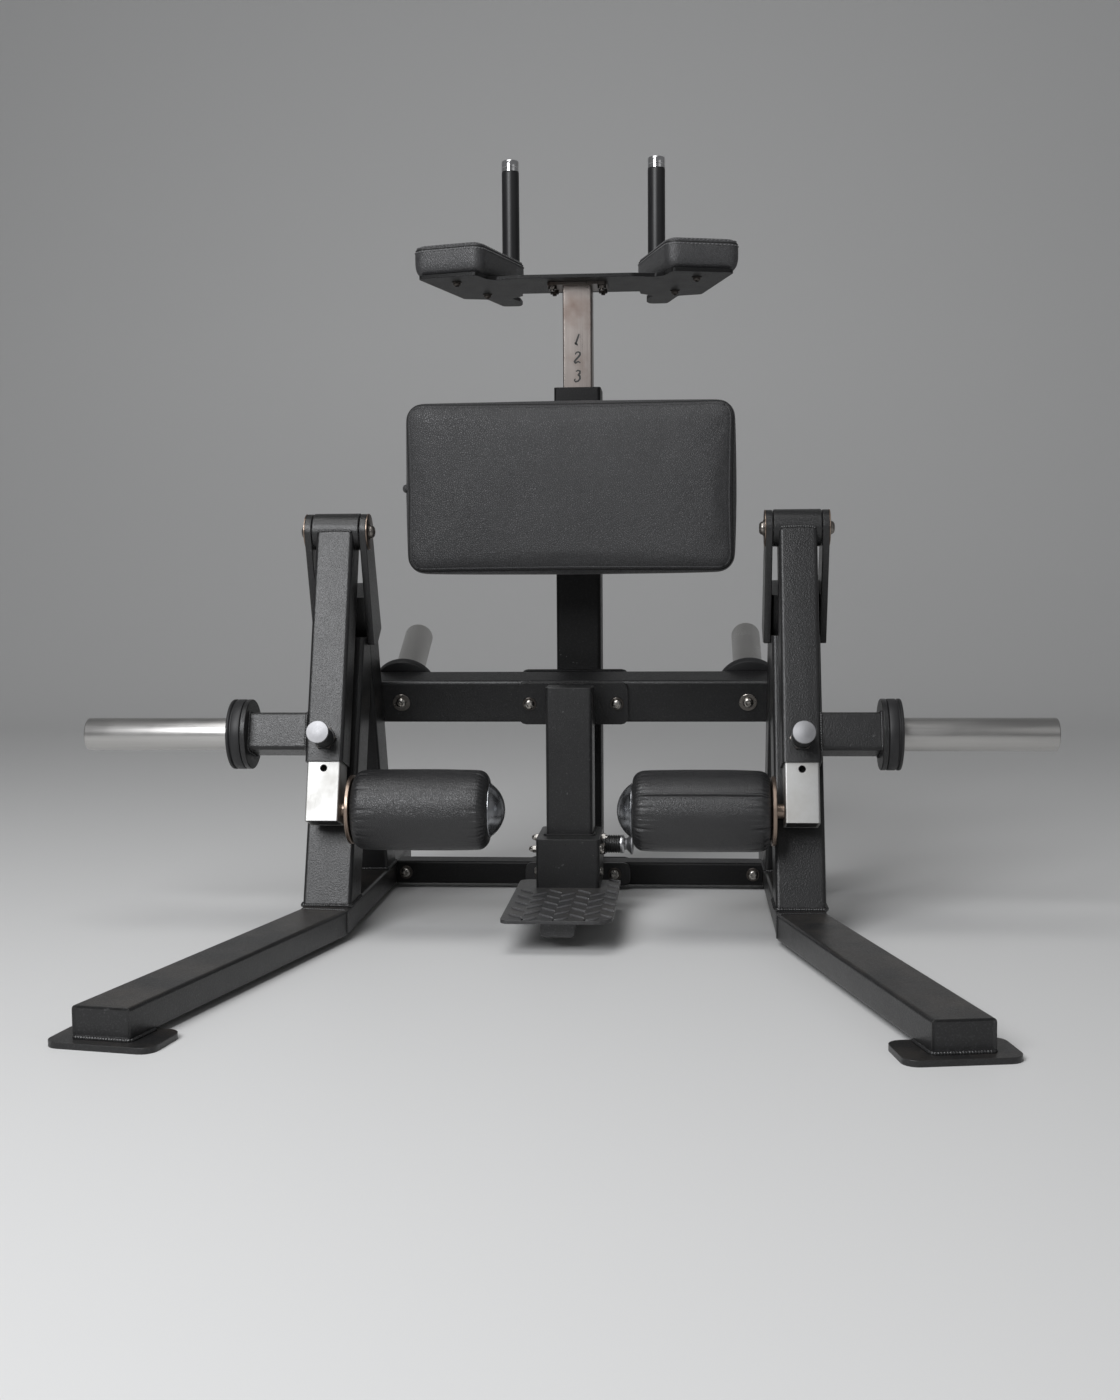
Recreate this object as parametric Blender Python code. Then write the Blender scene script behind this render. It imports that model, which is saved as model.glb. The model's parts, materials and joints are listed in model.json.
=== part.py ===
"""Standing hamstring machine, plate loaded, with one swinging arm for each leg.

Units are metres and +Z is up. +X is to the user's right and +Y points ahead of the
user, who stands on the step and faces +Y. Depths are first measured from the seat of
the upper beam on the rear struts, and one root empty then centres the machine on the
middle of its footprint.
"""

import math

import bmesh
import bpy
from mathutils import Matrix, Vector

# Clearances
SEAT_GAP = 0.0003
SLIDE_CLEARANCE = 0.0005
RUNNING_GAP = 0.001

# Small shapes that many pieces share
EDGE_BREAK = 0.001
SOFT_EDGE = 0.003
WELD_OVERLAP = 0.0015
CUT_OVERSHOOT = 0.005
TUBE_END_RIM = 0.004
TUBE_END_RECESS = 0.002
INNER_CORNER = 0.001

# Side frames
SIDE_INNER = 0.320
FRAME_TUBE = 0.075
TUBE_CORNER = 0.006
REAR_LEAN = math.radians(18.0)
POST_LEAN = math.radians(18.4)
POST_OFFSET = 0.0534
STRUT_TOP_RISE = 0.212
POST_TOP_HEIGHT = 0.451

# Floor rails and their foot plates
RAIL_HEIGHT = 0.040
RAIL_CORNER = 0.005
RAIL_REAR = 0.235
RAIL_BEND_AHEAD_OF_POST = 0.022
SPLAY = math.radians(14.25)
SPLAY_LENGTH = 0.566
FOOT_TURN = math.radians(9.5)
FOOT_PLATE = 0.008
FOOT_PLATE_WIDTH = 0.140
FOOT_PLATE_LENGTH = 0.080
FOOT_PLATE_CORNER = 0.018
FOOT_PLATE_OVERHANG = 0.019
FOOT_PLATE_INSET = 0.0035

# Cross members
BEAM_SEAT_HEIGHT = 0.335
BEAM_SEAT_DEPTH = -0.010
BEAM_HEIGHT = 0.075
BEAM_DEPTH = 0.050
CROSS_MEMBER_DEPTH = 0.050
CROSS_MEMBER_FRONT = 0.085

# Flange plates that bolt the columns to the cross members
FLANGE_WIDTH = 0.183
FLANGE_THICKNESS = 0.006
FLANGE_CORNER = 0.012

# Storage pegs
STORAGE_PEG_X = 0.294
STORAGE_PEG_LENGTH = 0.168
STORAGE_PEG_TILT = math.radians(10.0)
STORAGE_BUMPER_THICKNESS = 0.015

# Columns
STEP_COLUMN = 0.075
STEP_COLUMN_FRONT = -0.120
STEP_COLUMN_TOP = 0.367
STEP_COLUMN_BOTTOM = 0.010
COLUMN_WALL = 0.003
PAD_COLUMN = 0.078
PAD_COLUMN_FRONT = 0.140
PAD_COLUMN_TOP = 0.848
PAD_COLUMN_BOTTOM = 0.010
UPPER_STUB_HEIGHT = 0.060
COLLAR_WIDTH = 0.081
COLLAR_HEIGHT = 0.024
COLLAR_INSERT = 0.060
REST_PIN_BELOW_COLLAR = 0.030

# Thigh pad
PAD_WIDTH = 0.540
PAD_HEIGHT = 0.283
PAD_THICKNESS = 0.064
PAD_CORNER = 0.030
PAD_CROWN = 0.006
PAD_CENTRE_HEIGHT = 0.6885
PAD_FRONT = -0.092
PAD_BOARD = 0.012
PAD_BOARD_INSET = 0.012
BRACKET_TUBE = 0.060
BRACKET_PLATE = 0.006
BRACKET_PLATE_WIDTH = 0.260
BRACKET_PLATE_HEIGHT = 0.130

# Pivots
PIVOT_DEPTH = -0.1696
PIVOT_RISE = 0.1659
EAR_THICKNESS = 0.011
EAR_BOSS_RADIUS = 0.028
EAR_FOOT_FRONT = (0.0266, -0.1789)
EAR_FOOT_CHAMFER = (0.0576, -0.1789)
EAR_FOOT_REAR = (0.0916, -0.1549)
PIN_RADIUS = 0.0125
PIN_NECK_RADIUS = 0.008
PIN_HEAD_RADIUS = 0.010
PIN_HEAD_HEIGHT = 0.007
HUB_RADIUS = 0.0288

# Swinging arms
ARM_LEAN = math.radians(16.85)
ARM_TUBE = 0.058
ARM_WALL = 0.003
ARM_LENGTH = 0.371
ARM_TUBE_TOP = -0.008
ARM_STOP_RADIUS = 0.016
ARM_STOP_DOWN = 0.235
HORN_DOWN = 0.324
HORN_END = 0.475
HORN_PLATE = 0.008
BUMPER_RADIUS = 0.0535
BUMPER_THICKNESS = 0.0215
SLEEVE_RADIUS = 0.025
SLEEVE_END = 0.734
SLEEVE_CHAMFER = 0.002

# Sliding tubes of the ankle rollers
SLIDE_TUBE_END = 0.461
SLIDE_TUBE_LENGTH = 0.290
SLIDE_TUBE_WALL = 0.003
SLIDE_TUBE_CORNER = 0.003
SLIDE_PLUG_RECESS = 0.0005
SLIDE_PLUG_TOP = 0.006
HOLE_PITCH = 0.0225
HOLE_RADIUS = 0.0055
HOLE_COUNT = 6
LOCK_HOLE_DOWN = 0.336
ROLLER_DOWN = 0.440
ROLLER_SHAFT_RADIUS = 0.011
ROLLER_FLANGE_RADIUS = 0.052
ROLLER_FLANGE_THICKNESS = 0.006
ROLLER_OUTER = 0.312
ROLLER_INNER = 0.1075
ROLLER_RADIUS = 0.060
ROLLER_EDGE = 0.016
ROLLER_SWELL = 0.0015
ROLLER_DISH = 0.002
ROLLER_DISH_RADIUS = 0.033
DOME_RADIUS = 0.041
DOME_HEIGHT = 0.0225
CAP_STEM_RADIUS = 0.006
CAP_STEM_LENGTH = 0.006

# Spring pins
PIN_BOSS_RADIUS = 0.0135
PIN_BOSS_HEIGHT = 0.036
PIN_NUT_RADIUS = 0.0165
PIN_NUT_HEIGHT = 0.006
KNOB_RADIUS = 0.0172
KNOB_NECK_RADIUS = 0.0075
KNOB_HEIGHT = 0.013
KNOB_RIM = 0.003
KNOB_CONE = 0.003
PLUNGER_RADIUS = 0.0045

# Arm rest
REST_POST = 0.051
REST_POST_WALL = 0.003
REST_POST_CORNER = 0.003
REST_POST_LENGTH = 0.420
REST_PLATE_BOTTOM = 1.054
REST_PLATE = 0.006
REST_FLANGE = 0.005
REST_FLANGE_WIDTH = 0.104
REST_FLANGE_DEPTH = 0.070
REST_PLATE_CORNER = 0.008
REST_PLATE_NOTCH_CORNER = 0.003
REST_PLATE_NOSE_CORNER = 0.030
REST_PLATE_NOSE = (0.098, 0.108)
REST_PLATE_SHOULDER = (0.137, 0.118)
REST_PLATE_STEP = (0.152, 0.107)
REST_PLATE_WING_INNER = (0.166, 0.068)
REST_PLATE_WING_OUTER = (0.270, 0.095)
REST_PLATE_WING_REAR = (0.217, 0.299)
REST_PLATE_TAIL_ROOT = (0.175, 0.309)
REST_PLATE_TAIL_OUTER = (0.154, 0.388)
REST_PLATE_TAIL_INNER = (0.122, 0.388)
REST_PLATE_HANDLE_REAR = (0.116, 0.368)
REST_PLATE_HANDLE_SIDE = (0.117, 0.334)
REST_PLATE_HANDLE_FRONT = (0.129, 0.306)
REST_PLATE_SLOT_SIDE = (0.118, 0.291)
REST_PLATE_SLOT_STEP = (0.107, 0.280)
REST_PLATE_SLOT_FRONT = (0.106, 0.256)
ARM_PAD_WIDTH = 0.134
ARM_PAD_LENGTH = 0.218
ARM_PAD_THICKNESS = 0.056
ARM_PAD_CORNER = 0.016
ARM_PAD_CROWN = 0.004
ARM_PAD_TURN = math.radians(16.0)
ARM_PAD_NEAR_INNER = (0.156, 0.066)
HANDLE_X = 0.135
HANDLE_DEPTH = 0.345
HANDLE_ROD_RADIUS = 0.0125
HANDLE_TOP = 1.311
HANDLE_CAP = 0.020
HANDLE_FOOT = 0.007
GRIP_RADIUS = 0.016
GRIP_FOOT = 0.031

# Step
STEP_SLEEVE_WIDTH = 0.101
STEP_SLEEVE_FRONT = -0.166
STEP_SLEEVE_WALL = 0.008
STEP_SLEEVE_HEIGHT = 0.078
STEP_LINER = 0.004
STEP_LINER_PROUD = 0.002
STEP_PLATE_TOP = 0.052
STEP_PLATE = 0.005
STEP_PLATE_WIDTH = 0.163
STEP_PLATE_FRONT = -0.408
STEP_PLATE_REAR = -0.096
STEP_PLATE_CORNERS = (0.012, 0.030, 0.006, 0.016)
STEP_NOTCH_CLEARANCE = 0.0015
STEP_SEAT_DEPTH = 0.001
STEP_SPINE_WIDTH = 0.050
STEP_SPINE_HEIGHT = 0.026
STEP_SPINE_SETBACK = 0.030
STEP_PIN_HEIGHT = 0.109

# Derived places shared by several pieces
SIDE_CENTRE = SIDE_INNER + FRAME_TUBE / 2
SIDE_OUTER = SIDE_INNER + FRAME_TUBE
RAIL_TOP = FOOT_PLATE + RAIL_HEIGHT
STRUT_UP = Vector((0.0, -math.sin(REAR_LEAN), math.cos(REAR_LEAN)))
STRUT_BACK = Vector((0.0, math.cos(REAR_LEAN), math.sin(REAR_LEAN)))
BEAM_SEAT = Vector((0.0, BEAM_SEAT_DEPTH, BEAM_SEAT_HEIGHT))
POST_UP = Vector((0.0, math.sin(POST_LEAN), math.cos(POST_LEAN)))
POST_BACK = Vector((0.0, math.cos(POST_LEAN), -math.sin(POST_LEAN)))
ARM_REAR = Vector((0.0, math.cos(ARM_LEAN), -math.sin(ARM_LEAN)))
PIVOT_HEIGHT = POST_TOP_HEIGHT + PIVOT_RISE
PIVOT = Vector((0.0, PIVOT_DEPTH, PIVOT_HEIGHT))
ARM_BACK = ARM_TUBE / 2
SLIDE_TUBE = ARM_TUBE - 2 * ARM_WALL - 2 * SLIDE_CLEARANCE
PAD_COLUMN_CENTRE = PAD_COLUMN_FRONT + PAD_COLUMN / 2
STEP_COLUMN_CENTRE = STEP_COLUMN_FRONT + STEP_COLUMN / 2
REST_PLATE_TOP = REST_PLATE_BOTTOM + REST_PLATE

FINISHES = {
    "black_steel": ((0.012, 0.012, 0.013), 0.35, 0.42),
    "bare_steel": ((0.62, 0.60, 0.57), 1.0, 0.28),
    "chrome": ((0.75, 0.75, 0.76), 1.0, 0.10),
    "aluminium": ((0.72, 0.72, 0.72), 1.0, 0.30),
    "rubber": ((0.010, 0.010, 0.011), 0.0, 0.70),
    "black_plastic": ((0.014, 0.014, 0.015), 0.0, 0.45),
    "leather": ((0.016, 0.016, 0.018), 0.0, 0.42),
}


def clear_scene():
    for item in list(bpy.data.objects):
        bpy.data.objects.remove(item, do_unlink=True)


def empty(name, parent=None, location=(0.0, 0.0, 0.0), turn_x=0.0):
    item = bpy.data.objects.new(name, None)
    bpy.context.scene.collection.objects.link(item)
    item.parent = parent
    item.location = location
    item.rotation_euler = (turn_x, 0.0, 0.0)
    return item


def add_finish(item, finish):
    colour, metallic, roughness = FINISHES[finish]
    material = bpy.data.materials.new(item.name + "_finish")
    material.use_nodes = True
    shader = material.node_tree.nodes["Principled BSDF"]
    shader.inputs["Base Color"].default_value = (*colour, 1.0)
    shader.inputs["Metallic"].default_value = metallic
    shader.inputs["Roughness"].default_value = roughness
    item.data.materials.append(material)


def add_object(name, mesh_builder, parent, finish, smooth=False):
    """Turn a bmesh into a named object with its own finish."""
    bmesh.ops.recalc_face_normals(mesh_builder, faces=mesh_builder.faces)
    mesh = bpy.data.meshes.new(name)
    mesh_builder.to_mesh(mesh)
    mesh_builder.free()
    item = bpy.data.objects.new(name, mesh)
    bpy.context.scene.collection.objects.link(item)
    item.parent = parent
    if smooth:
        mesh.shade_smooth()
        mesh.set_sharp_from_angle(angle=math.radians(35.0))
    add_finish(item, finish)
    return item


def bevel(item, width, segments=1):
    step = item.modifiers.new("Edges", "BEVEL")
    step.width = width
    step.segments = segments
    step.limit_method = "ANGLE"
    step.angle_limit = math.radians(50.0)
    return item


def combine(item, other, operation):
    """Join another object to this one, or cut it away, and keep it as a guide."""
    other.hide_render = True
    other.display_type = "WIRE"
    step = item.modifiers.new(other.name, "BOOLEAN")
    step.operation = operation
    step.solver = "EXACT"
    step.object = other
    return item


def rounded_rectangle(width, height, radius, steps=3):
    """Outline points, anticlockwise, of a rectangle with round corners."""
    radius = min(radius, 0.49 * width, 0.49 * height)
    points = []
    corners = ((1, 1, 0), (-1, 1, 90), (-1, -1, 180), (1, -1, 270))
    for side_x, side_y, start in corners:
        centre_x = side_x * (width / 2 - radius)
        centre_y = side_y * (height / 2 - radius)
        for step in range(steps + 1):
            angle = math.radians(start + 90.0 * step / steps)
            points.append((centre_x + radius * math.cos(angle), centre_y + radius * math.sin(angle)))
    return points


def rounded_polygon(corners, radii, steps=3):
    """Outline of a polygon whose corners are rounded by tangent arcs."""
    points = []
    count = len(corners)
    for index, (corner, radius) in enumerate(zip(corners, radii)):
        here = Vector(corner)
        before = (Vector(corners[index - 1]) - here).normalized()
        after = (Vector(corners[(index + 1) % count]) - here).normalized()
        if radius <= 0.0:
            points.append(tuple(here))
            continue
        half = before.angle(after) / 2
        reach = radius / math.tan(half)
        centre = here + (before + after).normalized() * (radius / math.sin(half))
        start = here + before * reach - centre
        end = here + after * reach - centre
        sweep = start.angle_signed(end)
        for step in range(steps + 1):
            angle = sweep * step / steps
            turned = Vector((start.x * math.cos(angle) + start.y * math.sin(angle),
                             -start.x * math.sin(angle) + start.y * math.cos(angle)))
            points.append(tuple(centre + turned))
    return points


def mesh_from_rings(rings, ring_is_hole=None):
    """Skin a run of equal rings, capped at both ends.

    With a second run of rings for the bore, the ends are open rims instead.
    """
    shape = bmesh.new()
    count = len(rings[0])

    def skin(run):
        loops = [[shape.verts.new(point) for point in ring] for ring in run]
        for first, second in zip(loops, loops[1:]):
            for index in range(count):
                after = (index + 1) % count
                shape.faces.new((first[index], first[after], second[after], second[index]))
        return loops

    outer = skin(rings)
    if ring_is_hole is None:
        shape.faces.new(outer[0])
        shape.faces.new(outer[-1])
        return shape
    inner = skin(ring_is_hole)
    for wall, bore in ((outer[0], inner[0]), (outer[-1], inner[-1])):
        for index in range(count):
            after = (index + 1) % count
            shape.faces.new((wall[index], wall[after], bore[after], bore[index]))
    return shape


def ring_on_plane(outline, centre, across, up, along, plane_point, plane_normal):
    """Carry an outline along its sweep direction until it meets a plane."""
    ring = []
    for first, second in outline:
        start = centre + across * first + up * second
        travel = (plane_point - start).dot(plane_normal) / along.dot(plane_normal)
        ring.append(start + along * travel)
    return ring


def straight_tube(name, outline, centre, across, up, along, planes, parent, finish, bore=None):
    """Tube between two end planes, each given by a point and a normal."""
    rings = [ring_on_plane(outline, centre, across, up, along, *plane) for plane in planes]
    holes = None
    if bore is not None:
        holes = [ring_on_plane(bore, centre, across, up, along, *plane) for plane in planes]
    return add_object(name, mesh_from_rings(rings, holes), parent, finish)


def upright_tube(name, width, depth, corner, centre, bottom, top, parent, finish, wall=None):
    """Vertical rectangular tube, open at both ends where a wall is given."""
    outline = rounded_rectangle(width, depth, corner)
    bore = None
    if wall is not None:
        inner_corner = max(corner - wall, INNER_CORNER)
        bore = rounded_rectangle(width - 2 * wall, depth - 2 * wall, inner_corner)
    planes = [(Vector((0, 0, level)), Vector((0, 0, 1))) for level in (bottom, top)]
    return straight_tube(name, outline, Vector((centre[0], centre[1], 0)), Vector((1, 0, 0)),
                         Vector((0, 1, 0)), Vector((0, 0, 1)), planes, parent, finish, bore)


def plate(name, outline, thickness, frame, parent, finish):
    """Flat plate: an outline in the frame's X and Y, raised along its Z."""
    shape = bmesh.new()
    base = shape.faces.new([shape.verts.new(frame @ Vector((x, y, 0.0))) for x, y in outline])
    raised = bmesh.ops.extrude_face_region(shape, geom=[base])
    moved = [part for part in raised["geom"] if isinstance(part, bmesh.types.BMVert)]
    lift = frame.to_3x3() @ Vector((0, 0, thickness))
    bmesh.ops.translate(shape, verts=moved, vec=lift)
    return add_object(name, shape, parent, finish)


def turned(name, profile, frame, parent, finish, steps=32):
    """Solid of revolution about the frame's Z, from a closed (radius, height) profile.

    Points at radius zero are the poles of a solid piece.
    """
    shape = bmesh.new()
    points = [shape.verts.new(frame @ Vector((radius, 0.0, height))) for radius, height in profile]
    edges = [shape.edges.new(pair) for pair in zip(points, points[1:])]
    if profile[0][0] > 0.0:
        edges.append(shape.edges.new((points[-1], points[0])))
    axis = (frame.to_3x3() @ Vector((0, 0, 1))).normalized()
    bmesh.ops.spin(shape, geom=points + edges, cent=frame.translation, axis=axis,
                   angle=2 * math.pi, steps=steps, use_merge=True)
    bmesh.ops.remove_doubles(shape, verts=shape.verts, dist=0.00002)
    bmesh.ops.dissolve_degenerate(shape, edges=shape.edges, dist=0.00001)
    return add_object(name, shape, parent, finish, smooth=True)


def frame_from(origin, x_axis, z_axis):
    """Placement matrix with the given X and Z directions."""
    z_axis = Vector(z_axis).normalized()
    x_axis = Vector(x_axis).normalized()
    y_axis = z_axis.cross(x_axis)
    matrix = Matrix((x_axis, y_axis, z_axis)).transposed().to_4x4()
    matrix.translation = Vector(origin)
    return matrix


def cushion(name, width, height, thickness, corner, crown, frame, parent):
    """Upholstered pad: sides drawn in at the back, a round edge and a low crown."""
    tuck = 0.10 * thickness
    edge = 0.34 * thickness
    rows = [(tuck, 0.0), (0.3 * tuck, 0.12 * thickness), (0.0, 0.34 * thickness)]
    for step in range(1, 5):
        angle = math.radians(22.5 * step)
        rows.append((edge * (1 - math.cos(angle)), thickness - edge * (1 - math.sin(angle))))
    reach = min(width, height) / 2 - edge
    for share in (0.25, 0.55, 0.85):
        rows.append((edge + reach * share, thickness + crown * (1 - (1 - share) ** 2)))
    rings = []
    for inset, level in rows:
        corner_here = max(corner - inset, INNER_CORNER)
        outline = rounded_rectangle(width - 2 * inset, height - 2 * inset, corner_here, steps=5)
        rings.append([frame @ Vector((x, y, level)) for x, y in outline])
    return add_object(name, mesh_from_rings(rings), parent, "leather", smooth=True)


def rail_path(side):
    """Centre line of a floor rail: rear end, bend and splayed front end."""
    level = FOOT_PLATE + RAIL_HEIGHT / 2
    bend = Vector((side * SIDE_CENTRE, rail_bend_depth(), level))
    ahead = Vector((side * math.sin(SPLAY), -math.cos(SPLAY), 0.0))
    return Vector((side * SIDE_CENTRE, RAIL_REAR, level)), bend, bend + ahead * SPLAY_LENGTH, ahead


def post_face_depth(height):
    """Depth of a front post's front face at a height."""
    foot = PIVOT + POST_BACK * POST_OFFSET
    return foot.y + (height - foot.z) * math.tan(POST_LEAN)


def rail_bend_depth():
    return post_face_depth(RAIL_TOP) - RAIL_BEND_AHEAD_OF_POST


def foot_facing(side):
    """Direction that a rail's cut front end and its foot plate face."""
    return Vector((side * math.sin(FOOT_TURN), -math.cos(FOOT_TURN), 0.0))


def foot_plate_middle(side):
    _, _, front, _ = rail_path(side)
    facing = foot_facing(side)
    outward = Vector((-side * facing.y, side * facing.x, 0.0))
    middle = front + facing * (FOOT_PLATE_OVERHANG - FOOT_PLATE_LENGTH / 2) - outward * FOOT_PLATE_INSET
    return Vector((middle.x, middle.y, 0.0))


def footprint_centre():
    """Middle of the machine's depth, between the front foot plates and the arm rest."""
    ahead = (FOOT_PLATE_LENGTH / 2 - FOOT_PLATE_CORNER) * math.cos(FOOT_TURN)
    inner = (FOOT_PLATE_WIDTH / 2 - FOOT_PLATE_CORNER) * math.sin(FOOT_TURN)
    nearest = foot_plate_middle(1).y - ahead - inner - FOOT_PLATE_CORNER
    farthest = max(depth for _, depth in rest_plate_outline())
    return (nearest + farthest) / 2


def build_rail(side, name, parent):
    rear, bend, front, ahead = rail_path(side)
    outline = rounded_rectangle(FRAME_TUBE, RAIL_HEIGHT, RAIL_CORNER)
    across = Vector((1, 0, 0))
    up = Vector((0, 0, 1))
    back = Vector((0, 1, 0))
    mitre = (back - ahead).normalized()
    splay_across = Vector((-ahead.y, ahead.x, 0.0))
    rings = [
        ring_on_plane(outline, rear, across, up, back, rear, back),
        ring_on_plane(outline, rear, across, up, back, bend, mitre),
        ring_on_plane(outline, front, splay_across, up, ahead, front, foot_facing(side)),
    ]
    shape = mesh_from_rings(rings)
    shape.faces.ensure_lookup_table()
    for cap in shape.faces[-2:]:
        bmesh.ops.inset_individual(shape, faces=[cap], thickness=TUBE_END_RIM, depth=-TUBE_END_RECESS)
    rail = add_object(name, shape, parent, "black_steel")
    pad = rounded_rectangle(FRAME_TUBE, FRAME_TUBE, FOOT_PLATE_CORNER / 2)
    pad_centre = Vector((rear.x, RAIL_REAR - FRAME_TUBE / 2 - TUBE_CORNER, 0.0))
    foot = plate(name + "_rear_foot", pad, FOOT_PLATE + RAIL_CORNER + WELD_OVERLAP,
                 Matrix.Translation(pad_centre), parent, "black_steel")
    return combine(rail, foot, "UNION")


def build_foot_plate(side, name, parent):
    facing = foot_facing(side)
    place = frame_from(foot_plate_middle(side), (-facing.y, facing.x, 0.0), (0, 0, 1))
    outline = rounded_rectangle(FOOT_PLATE_WIDTH, FOOT_PLATE_LENGTH, FOOT_PLATE_CORNER, steps=5)
    return plate(name, outline, FOOT_PLATE - SEAT_GAP, place, parent, "black_steel")


def strut_centre(side):
    middle = BEAM_SEAT - STRUT_BACK * (FRAME_TUBE / 2 + SEAT_GAP)
    return Vector((side * SIDE_CENTRE, middle.y, middle.z))


def build_strut(side, name, parent):
    centre = strut_centre(side)
    outline = rounded_rectangle(FRAME_TUBE, FRAME_TUBE, TUBE_CORNER)
    planes = [
        (Vector((0, 0, RAIL_TOP + SEAT_GAP)), Vector((0, 0, 1))),
        (centre + STRUT_UP * STRUT_TOP_RISE, STRUT_UP),
    ]
    return straight_tube(name, outline, centre, Vector((1, 0, 0)), STRUT_BACK, STRUT_UP, planes,
                         parent, "black_steel")


def build_post(side, name, parent):
    face = PIVOT + POST_BACK * (POST_OFFSET + FRAME_TUBE / 2)
    centre = Vector((side * SIDE_CENTRE, face.y, face.z))
    planes = [
        (Vector((0, 0, RAIL_TOP + SEAT_GAP)), Vector((0, 0, 1))),
        (Vector((0, 0, POST_TOP_HEIGHT)), Vector((0, 0, 1))),
    ]
    outline = rounded_rectangle(FRAME_TUBE, FRAME_TUBE, TUBE_CORNER)
    post = straight_tube(name, outline, centre, Vector((1, 0, 0)), POST_BACK, POST_UP, planes,
                         parent, "black_steel")
    room = strut_room(side, name + "_notch", parent)
    return combine(post, room, "DIFFERENCE")


def strut_room(side, name, parent):
    """Block behind the strut's front face, wider than the post, that trims the post."""
    centre = strut_centre(side) + STRUT_BACK * (FRAME_TUBE / 2 - SEAT_GAP)
    outline = rounded_rectangle(2 * FRAME_TUBE, 2 * FRAME_TUBE, INNER_CORNER, steps=1)
    span = STRUT_TOP_RISE + FRAME_TUBE
    planes = [(centre + STRUT_UP * reach, STRUT_UP) for reach in (-0.5 * span, span)]
    return straight_tube(name, outline, centre, Vector((1, 0, 0)), STRUT_BACK, STRUT_UP, planes,
                         parent, "black_steel")


def tangent_point(centre, radius, outside, turn):
    """Point where the line from an outside point touches a circle."""
    reach = outside - centre
    swing = math.acos(radius / reach.length) * turn
    direction = math.atan2(reach.y, reach.x) + swing
    return centre + Vector((math.cos(direction), math.sin(direction))) * radius


def ear_outline():
    """Ear in (depth, height): a boss round the pivot and a chamfered foot on the strut."""
    centre = Vector((PIVOT_DEPTH, PIVOT_HEIGHT))
    foot = [centre + Vector(corner) for corner in (EAR_FOOT_FRONT, EAR_FOOT_CHAMFER, EAR_FOOT_REAR)]
    front = tangent_point(centre, EAR_BOSS_RADIUS, foot[0], -1)
    rear = tangent_point(centre, EAR_BOSS_RADIUS, foot[-1], 1)
    start = math.atan2(rear.y - centre.y, rear.x - centre.x)
    end = math.atan2(front.y - centre.y, front.x - centre.x)
    if end < start:
        end += 2 * math.pi
    arc = []
    steps = 14
    for step in range(steps + 1):
        angle = start + (end - start) * step / steps
        arc.append((centre.x + EAR_BOSS_RADIUS * math.cos(angle),
                    centre.y + EAR_BOSS_RADIUS * math.sin(angle)))
    return [tuple(corner) for corner in foot] + arc


def build_ear(face_x, name, parent):
    """Pivot ear whose face nearest the machine's right starts at face_x."""
    place = Matrix(((0, 0, 1, face_x), (1, 0, 0, 0), (0, 1, 0, 0), (0, 0, 0, 1)))
    ear = plate(name, ear_outline(), EAR_THICKNESS - SEAT_GAP, place, parent, "black_steel")
    bore_frame = frame_from((face_x - CUT_OVERSHOOT, PIVOT_DEPTH, PIVOT_HEIGHT), (0, 1, 0), (1, 0, 0))
    length = EAR_THICKNESS + 2 * CUT_OVERSHOOT
    radius = PIN_NECK_RADIUS + SEAT_GAP
    bore = turned(name + "_bore", [(0, 0), (radius, 0), (radius, length), (0, length)], bore_frame,
                  parent, "black_steel", steps=20)
    combine(ear, bore, "DIFFERENCE")
    return bevel(ear, EDGE_BREAK)


def build_pivot_pin(side, name, parent):
    """Shaft between the ears, with a neck through each ear and a domed head outside."""
    half = FRAME_TUBE / 2
    inner = half - RUNNING_GAP / 2
    face = half + EAR_THICKNESS + SEAT_GAP
    head = face + PIN_HEAD_HEIGHT
    outside = [
        (PIN_RADIUS, inner),
        (PIN_NECK_RADIUS, inner),
        (PIN_NECK_RADIUS, face),
        (PIN_HEAD_RADIUS, face),
        (PIN_HEAD_RADIUS, face + 0.55 * PIN_HEAD_HEIGHT),
        (0.85 * PIN_HEAD_RADIUS, face + 0.85 * PIN_HEAD_HEIGHT),
        (0.55 * PIN_HEAD_RADIUS, head),
        (0.0, head),
    ]
    mirrored = [(radius, -height) for radius, height in reversed(outside)]
    place = frame_from((side * SIDE_CENTRE, PIVOT_DEPTH, PIVOT_HEIGHT), (0, 1, 0), (1, 0, 0))
    return turned(name, mirrored + outside, place, parent, "chrome", steps=16)


def build_arm_stop(side, name, parent):
    """Rubber buffer on the front post that the hanging arm rests against."""
    seat = PIVOT + POST_BACK * (POST_OFFSET - SEAT_GAP) - POST_UP * ARM_STOP_DOWN
    place = frame_from((side * SIDE_CENTRE, seat.y, seat.z), (1, 0, 0), -POST_BACK)
    arm_face = PIVOT + ARM_REAR * ARM_BACK
    reach = (seat - arm_face).dot(ARM_REAR) / POST_BACK.dot(ARM_REAR)
    skew = ARM_STOP_RADIUS * math.tan(abs(POST_LEAN - ARM_LEAN))
    length = reach - SEAT_GAP - skew
    radius = ARM_STOP_RADIUS
    profile = [(0, 0), (radius, 0), (radius, length - SOFT_EDGE),
               (radius - 0.7 * SOFT_EDGE, length - 0.3 * SOFT_EDGE),
               (radius - 2 * SOFT_EDGE, length), (0, length)]
    return turned(name, profile, place, parent, "rubber", steps=24)


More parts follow.
